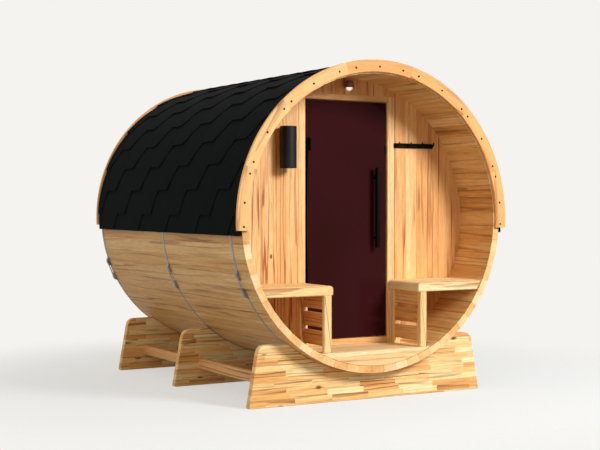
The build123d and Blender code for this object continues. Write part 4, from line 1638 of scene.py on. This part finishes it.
@dataclass
class CoatRack:
    """Flat bar with four hooks bent up from it."""

    x: float = 487 * MM
    middle: float = 1517 * MM
    length: float = 294 * MM
    height: float = 30 * MM
    thickness: float = 8 * MM
    hooks: int = 4
    pitch: float = 86 * MM
    reach: float = 32 * MM
    rise: float = 22 * MM
    wire: float = 4 * MM
    bend: float = 9 * MM

    def hook(self, piece: Piece, x: float) -> None:
        """Adds one hook: out from the bar, up round a quarter circle, and a little thinner at its end.

        Args:
            piece: piece that takes it.
            x: its place along the bar.
        """
        face = BARREL.wall_face - self.thickness
        out = face - self.reach
        quarter = np.radians(np.linspace(0, 90, 8))
        rounds = self.bend * (1 - np.stack((np.sin(quarter), np.cos(quarter)), axis=1))
        curve = np.column_stack((np.full(8, x), rounds + (out, self.middle)))
        end = self.middle + self.rise
        tip = [(x, out, end - 1 * MM), (x, out, end)]
        path = np.concatenate(([(x, face + 2 * MM, self.middle)], curve, tip))
        radius = np.full(len(path), self.wire)
        radius[-1] = self.wire * 0.6
        piece.tube(path, radius, (1.0, 0.0, 0.0))

    def build(self) -> None:
        """Makes the bar and its hooks."""
        piece = Piece("coat_rack_bar")
        half, tall = self.length / 2, self.height / 2
        bar = oblong(-half, half, -tall, tall) + (self.x, self.middle)
        piece.prism(softened(bar, 3 * MM, 4), facing_porch(BARREL.wall_face), self.thickness, 1 * MM, PLAIN)
        for index in range(self.hooks):
            self.hook(piece, self.x + (index - (self.hooks - 1) / 2) * self.pitch)
        piece.make([BLACK_STEEL], CABIN, "black_steel", ("coat_rack",))


@dataclass
class Studio:
    """Pale floor, plain background, soft lamps and the camera."""

    paper: str = "#f5f3ef"
    floor_colour: str = "#e7eff5"
    floor_bounce: str = "#b0aca4"
    floor_radius: float = 7.0
    fade_start: float = 1.5
    fade_end: float = 3.2
    key_energy: float = 545.0
    fill_energy: float = 20.0
    sky: float = 0.40
    sky_change: float = 0.65
    sky_colour: str = "#fff8ee"
    bright_side: Point = (-0.62, 0.42, 0.66)
    aim: Point = (0.0, -0.6, 1.0)
    eye: Point = (-4.1158, -7.2785, 1.1702)
    look: Point = (0.49982, 0.86593, -0.01865)
    lens: float = 76.2

    def backdrop(self) -> None:
        """World: the paper colour where the camera, glass or metal sees it, and plain light elsewhere."""
        world = bpy.data.worlds.new("studio")
        bpy.context.scene.world = world
        world.use_nodes = True
        tree = world.node_tree
        tree.nodes.clear()
        way = node(tree, "TexCoord", out="Generated")
        facing = node(tree, "VectorMath", (way, self.bright_side), "Value", operation="DOT_PRODUCT")
        weak, strong = (self.sky * (1 + way) for way in (-self.sky_change, self.sky_change))
        spread = node(tree, "MapRange", {"Value": facing, "From Min": -0.8, "From Max": 0.8,
                                         "To Min": weak, "To Max": strong})
        light = node(tree, "Background", {"Color": linear(self.sky_colour), "Strength": spread})
        paper = node(tree, "Background", {"Color": linear(self.paper), "Strength": 1.0})
        mix = node(tree, "MixShader", (self.seen(tree), light, paper))
        node(tree, "OutputWorld", {"Surface": mix})

    @staticmethod
    def seen(tree: Tree) -> Socket:
        """Tells the rays that see the backdrop from those that light the object.

        Args:
            tree: node tree of the world or the floor.

        Returns:
            1 for a camera, glossy or transmission ray, and 0 for any other.
        """
        rays = node(tree, "LightPath").node.outputs
        first = node(tree, "Math", (rays["Is Camera Ray"], rays["Is Glossy Ray"]), operation="MAXIMUM")
        return node(tree, "Math", (first, rays["Is Transmission Ray"]), operation="MAXIMUM")

    def floor(self) -> None:
        """Round pale floor that keeps the object's shadow and fades into the background at its rim."""
        sides = 96
        turn = np.linspace(0, 2 * np.pi, sides, endpoint=False)
        ring = self.floor_radius * np.stack((np.cos(turn), np.sin(turn), np.zeros(sides)), axis=1)
        mesh = bpy.data.meshes.new("studio_floor")
        mesh.from_pydata(ring.tolist(), [], [list(range(sides))])
        material = bpy.data.materials.new("paper_floor_matt")
        material.use_nodes = True
        tree = material.node_tree
        tree.nodes.clear()
        place = node(tree, "TexCoord", out="Object")
        far = node(tree, "VectorMath", (place,), "Value", operation="LENGTH")
        fade = node(tree, "MapRange", {"Value": far, "From Min": self.fade_start, "From Max": self.fade_end},
                    interpolation_type="SMOOTHSTEP")
        seen = self.seen(tree)
        pale = node(tree, "Mix", {0: seen, 6: linear(self.floor_bounce), 7: linear(self.floor_colour)}, 2,
                    data_type="RGBA")
        matt = node(tree, "BsdfDiffuse", {"Color": pale})
        plain = node(tree, "Emission", {"Color": linear(self.paper), "Strength": 1.0})
        share = node(tree, "Math", (seen, 0.6), operation="MULTIPLY")
        lit = node(tree, "MixShader", (share, matt, plain))
        mix = node(tree, "MixShader", (fade, lit, node(tree, "BsdfTransparent")))
        node(tree, "OutputMaterial", {"Surface": mix})
        mesh.materials.append(material)
        made = bpy.data.objects.new("studio_floor", mesh)
        bpy.context.scene.collection.objects.link(made)

    def lamp(self, name: str, spot: Point, size: float, energy: float) -> None:
        """Adds a white disc lamp aimed at the barrel.

        Args:
            name: name of the lamp.
            spot: where it stands.
            size: its diameter.
            energy: its power in watts.
        """
        data = bpy.data.lights.new(name, "AREA")
        data.shape = "DISK"
        data.size = size
        data.energy = energy
        lamp = bpy.data.objects.new(name, data)
        lamp.location = spot
        lamp.rotation_euler = (Vector(self.aim) - Vector(spot)).to_track_quat("-Z", "Y").to_euler()
        bpy.context.scene.collection.objects.link(lamp)

    def camera(self) -> None:
        """Camera at the photograph's angle."""
        data = bpy.data.cameras.new("studio_camera")
        data.lens = self.lens
        camera = bpy.data.objects.new("studio_camera", data)
        camera.location = self.eye
        camera.rotation_euler = Vector(self.look).to_track_quat("-Z", "Y").to_euler()
        bpy.context.scene.collection.objects.link(camera)
        bpy.context.scene.camera = camera

    def build(self) -> None:
        """Sets up the whole studio."""
        self.backdrop()
        self.floor()
        self.lamp("key", (2.4, -6.8, 4.4), 2.4, self.key_energy)
        self.lamp("fill", (-5.2, -5.0, 2.6), 3.0, self.fill_energy)
        self.camera()
        bpy.context.scene.view_settings.view_transform = "Standard"


def main() -> None:
    """Builds every sub-assembly and the studio, in order."""
    cradles = (("cradle_front", -976 * MM, 3), ("cradle_middle", 34 * MM, 8), ("cradle_rear", 938 * MM, 14))
    parts = [
        Staves(),
        Arch("front_arch_boards", -1082 * MM, -1),
        Arch("rear_arch_boards", 1062 * MM, 1, outer=928 * MM, stack=Stack(31)),
        Shingles(),
        Hoops(),
        *(Cradle(*cradle) for cradle in cradles),
        Stretchers(),
        EndWalls(),
        Doorway(),
        Floors(),
        Bench(-1, "left"),
        Bench(1, "right"),
        GlassDoor(),
        WallLamp(),
        PorchLight(),
        CoatRack(),
        Studio(),
    ]
    for part in parts:
        log.info("Building %s", type(part).__name__)
        part.build()


if __name__ == "__main__":
    main()
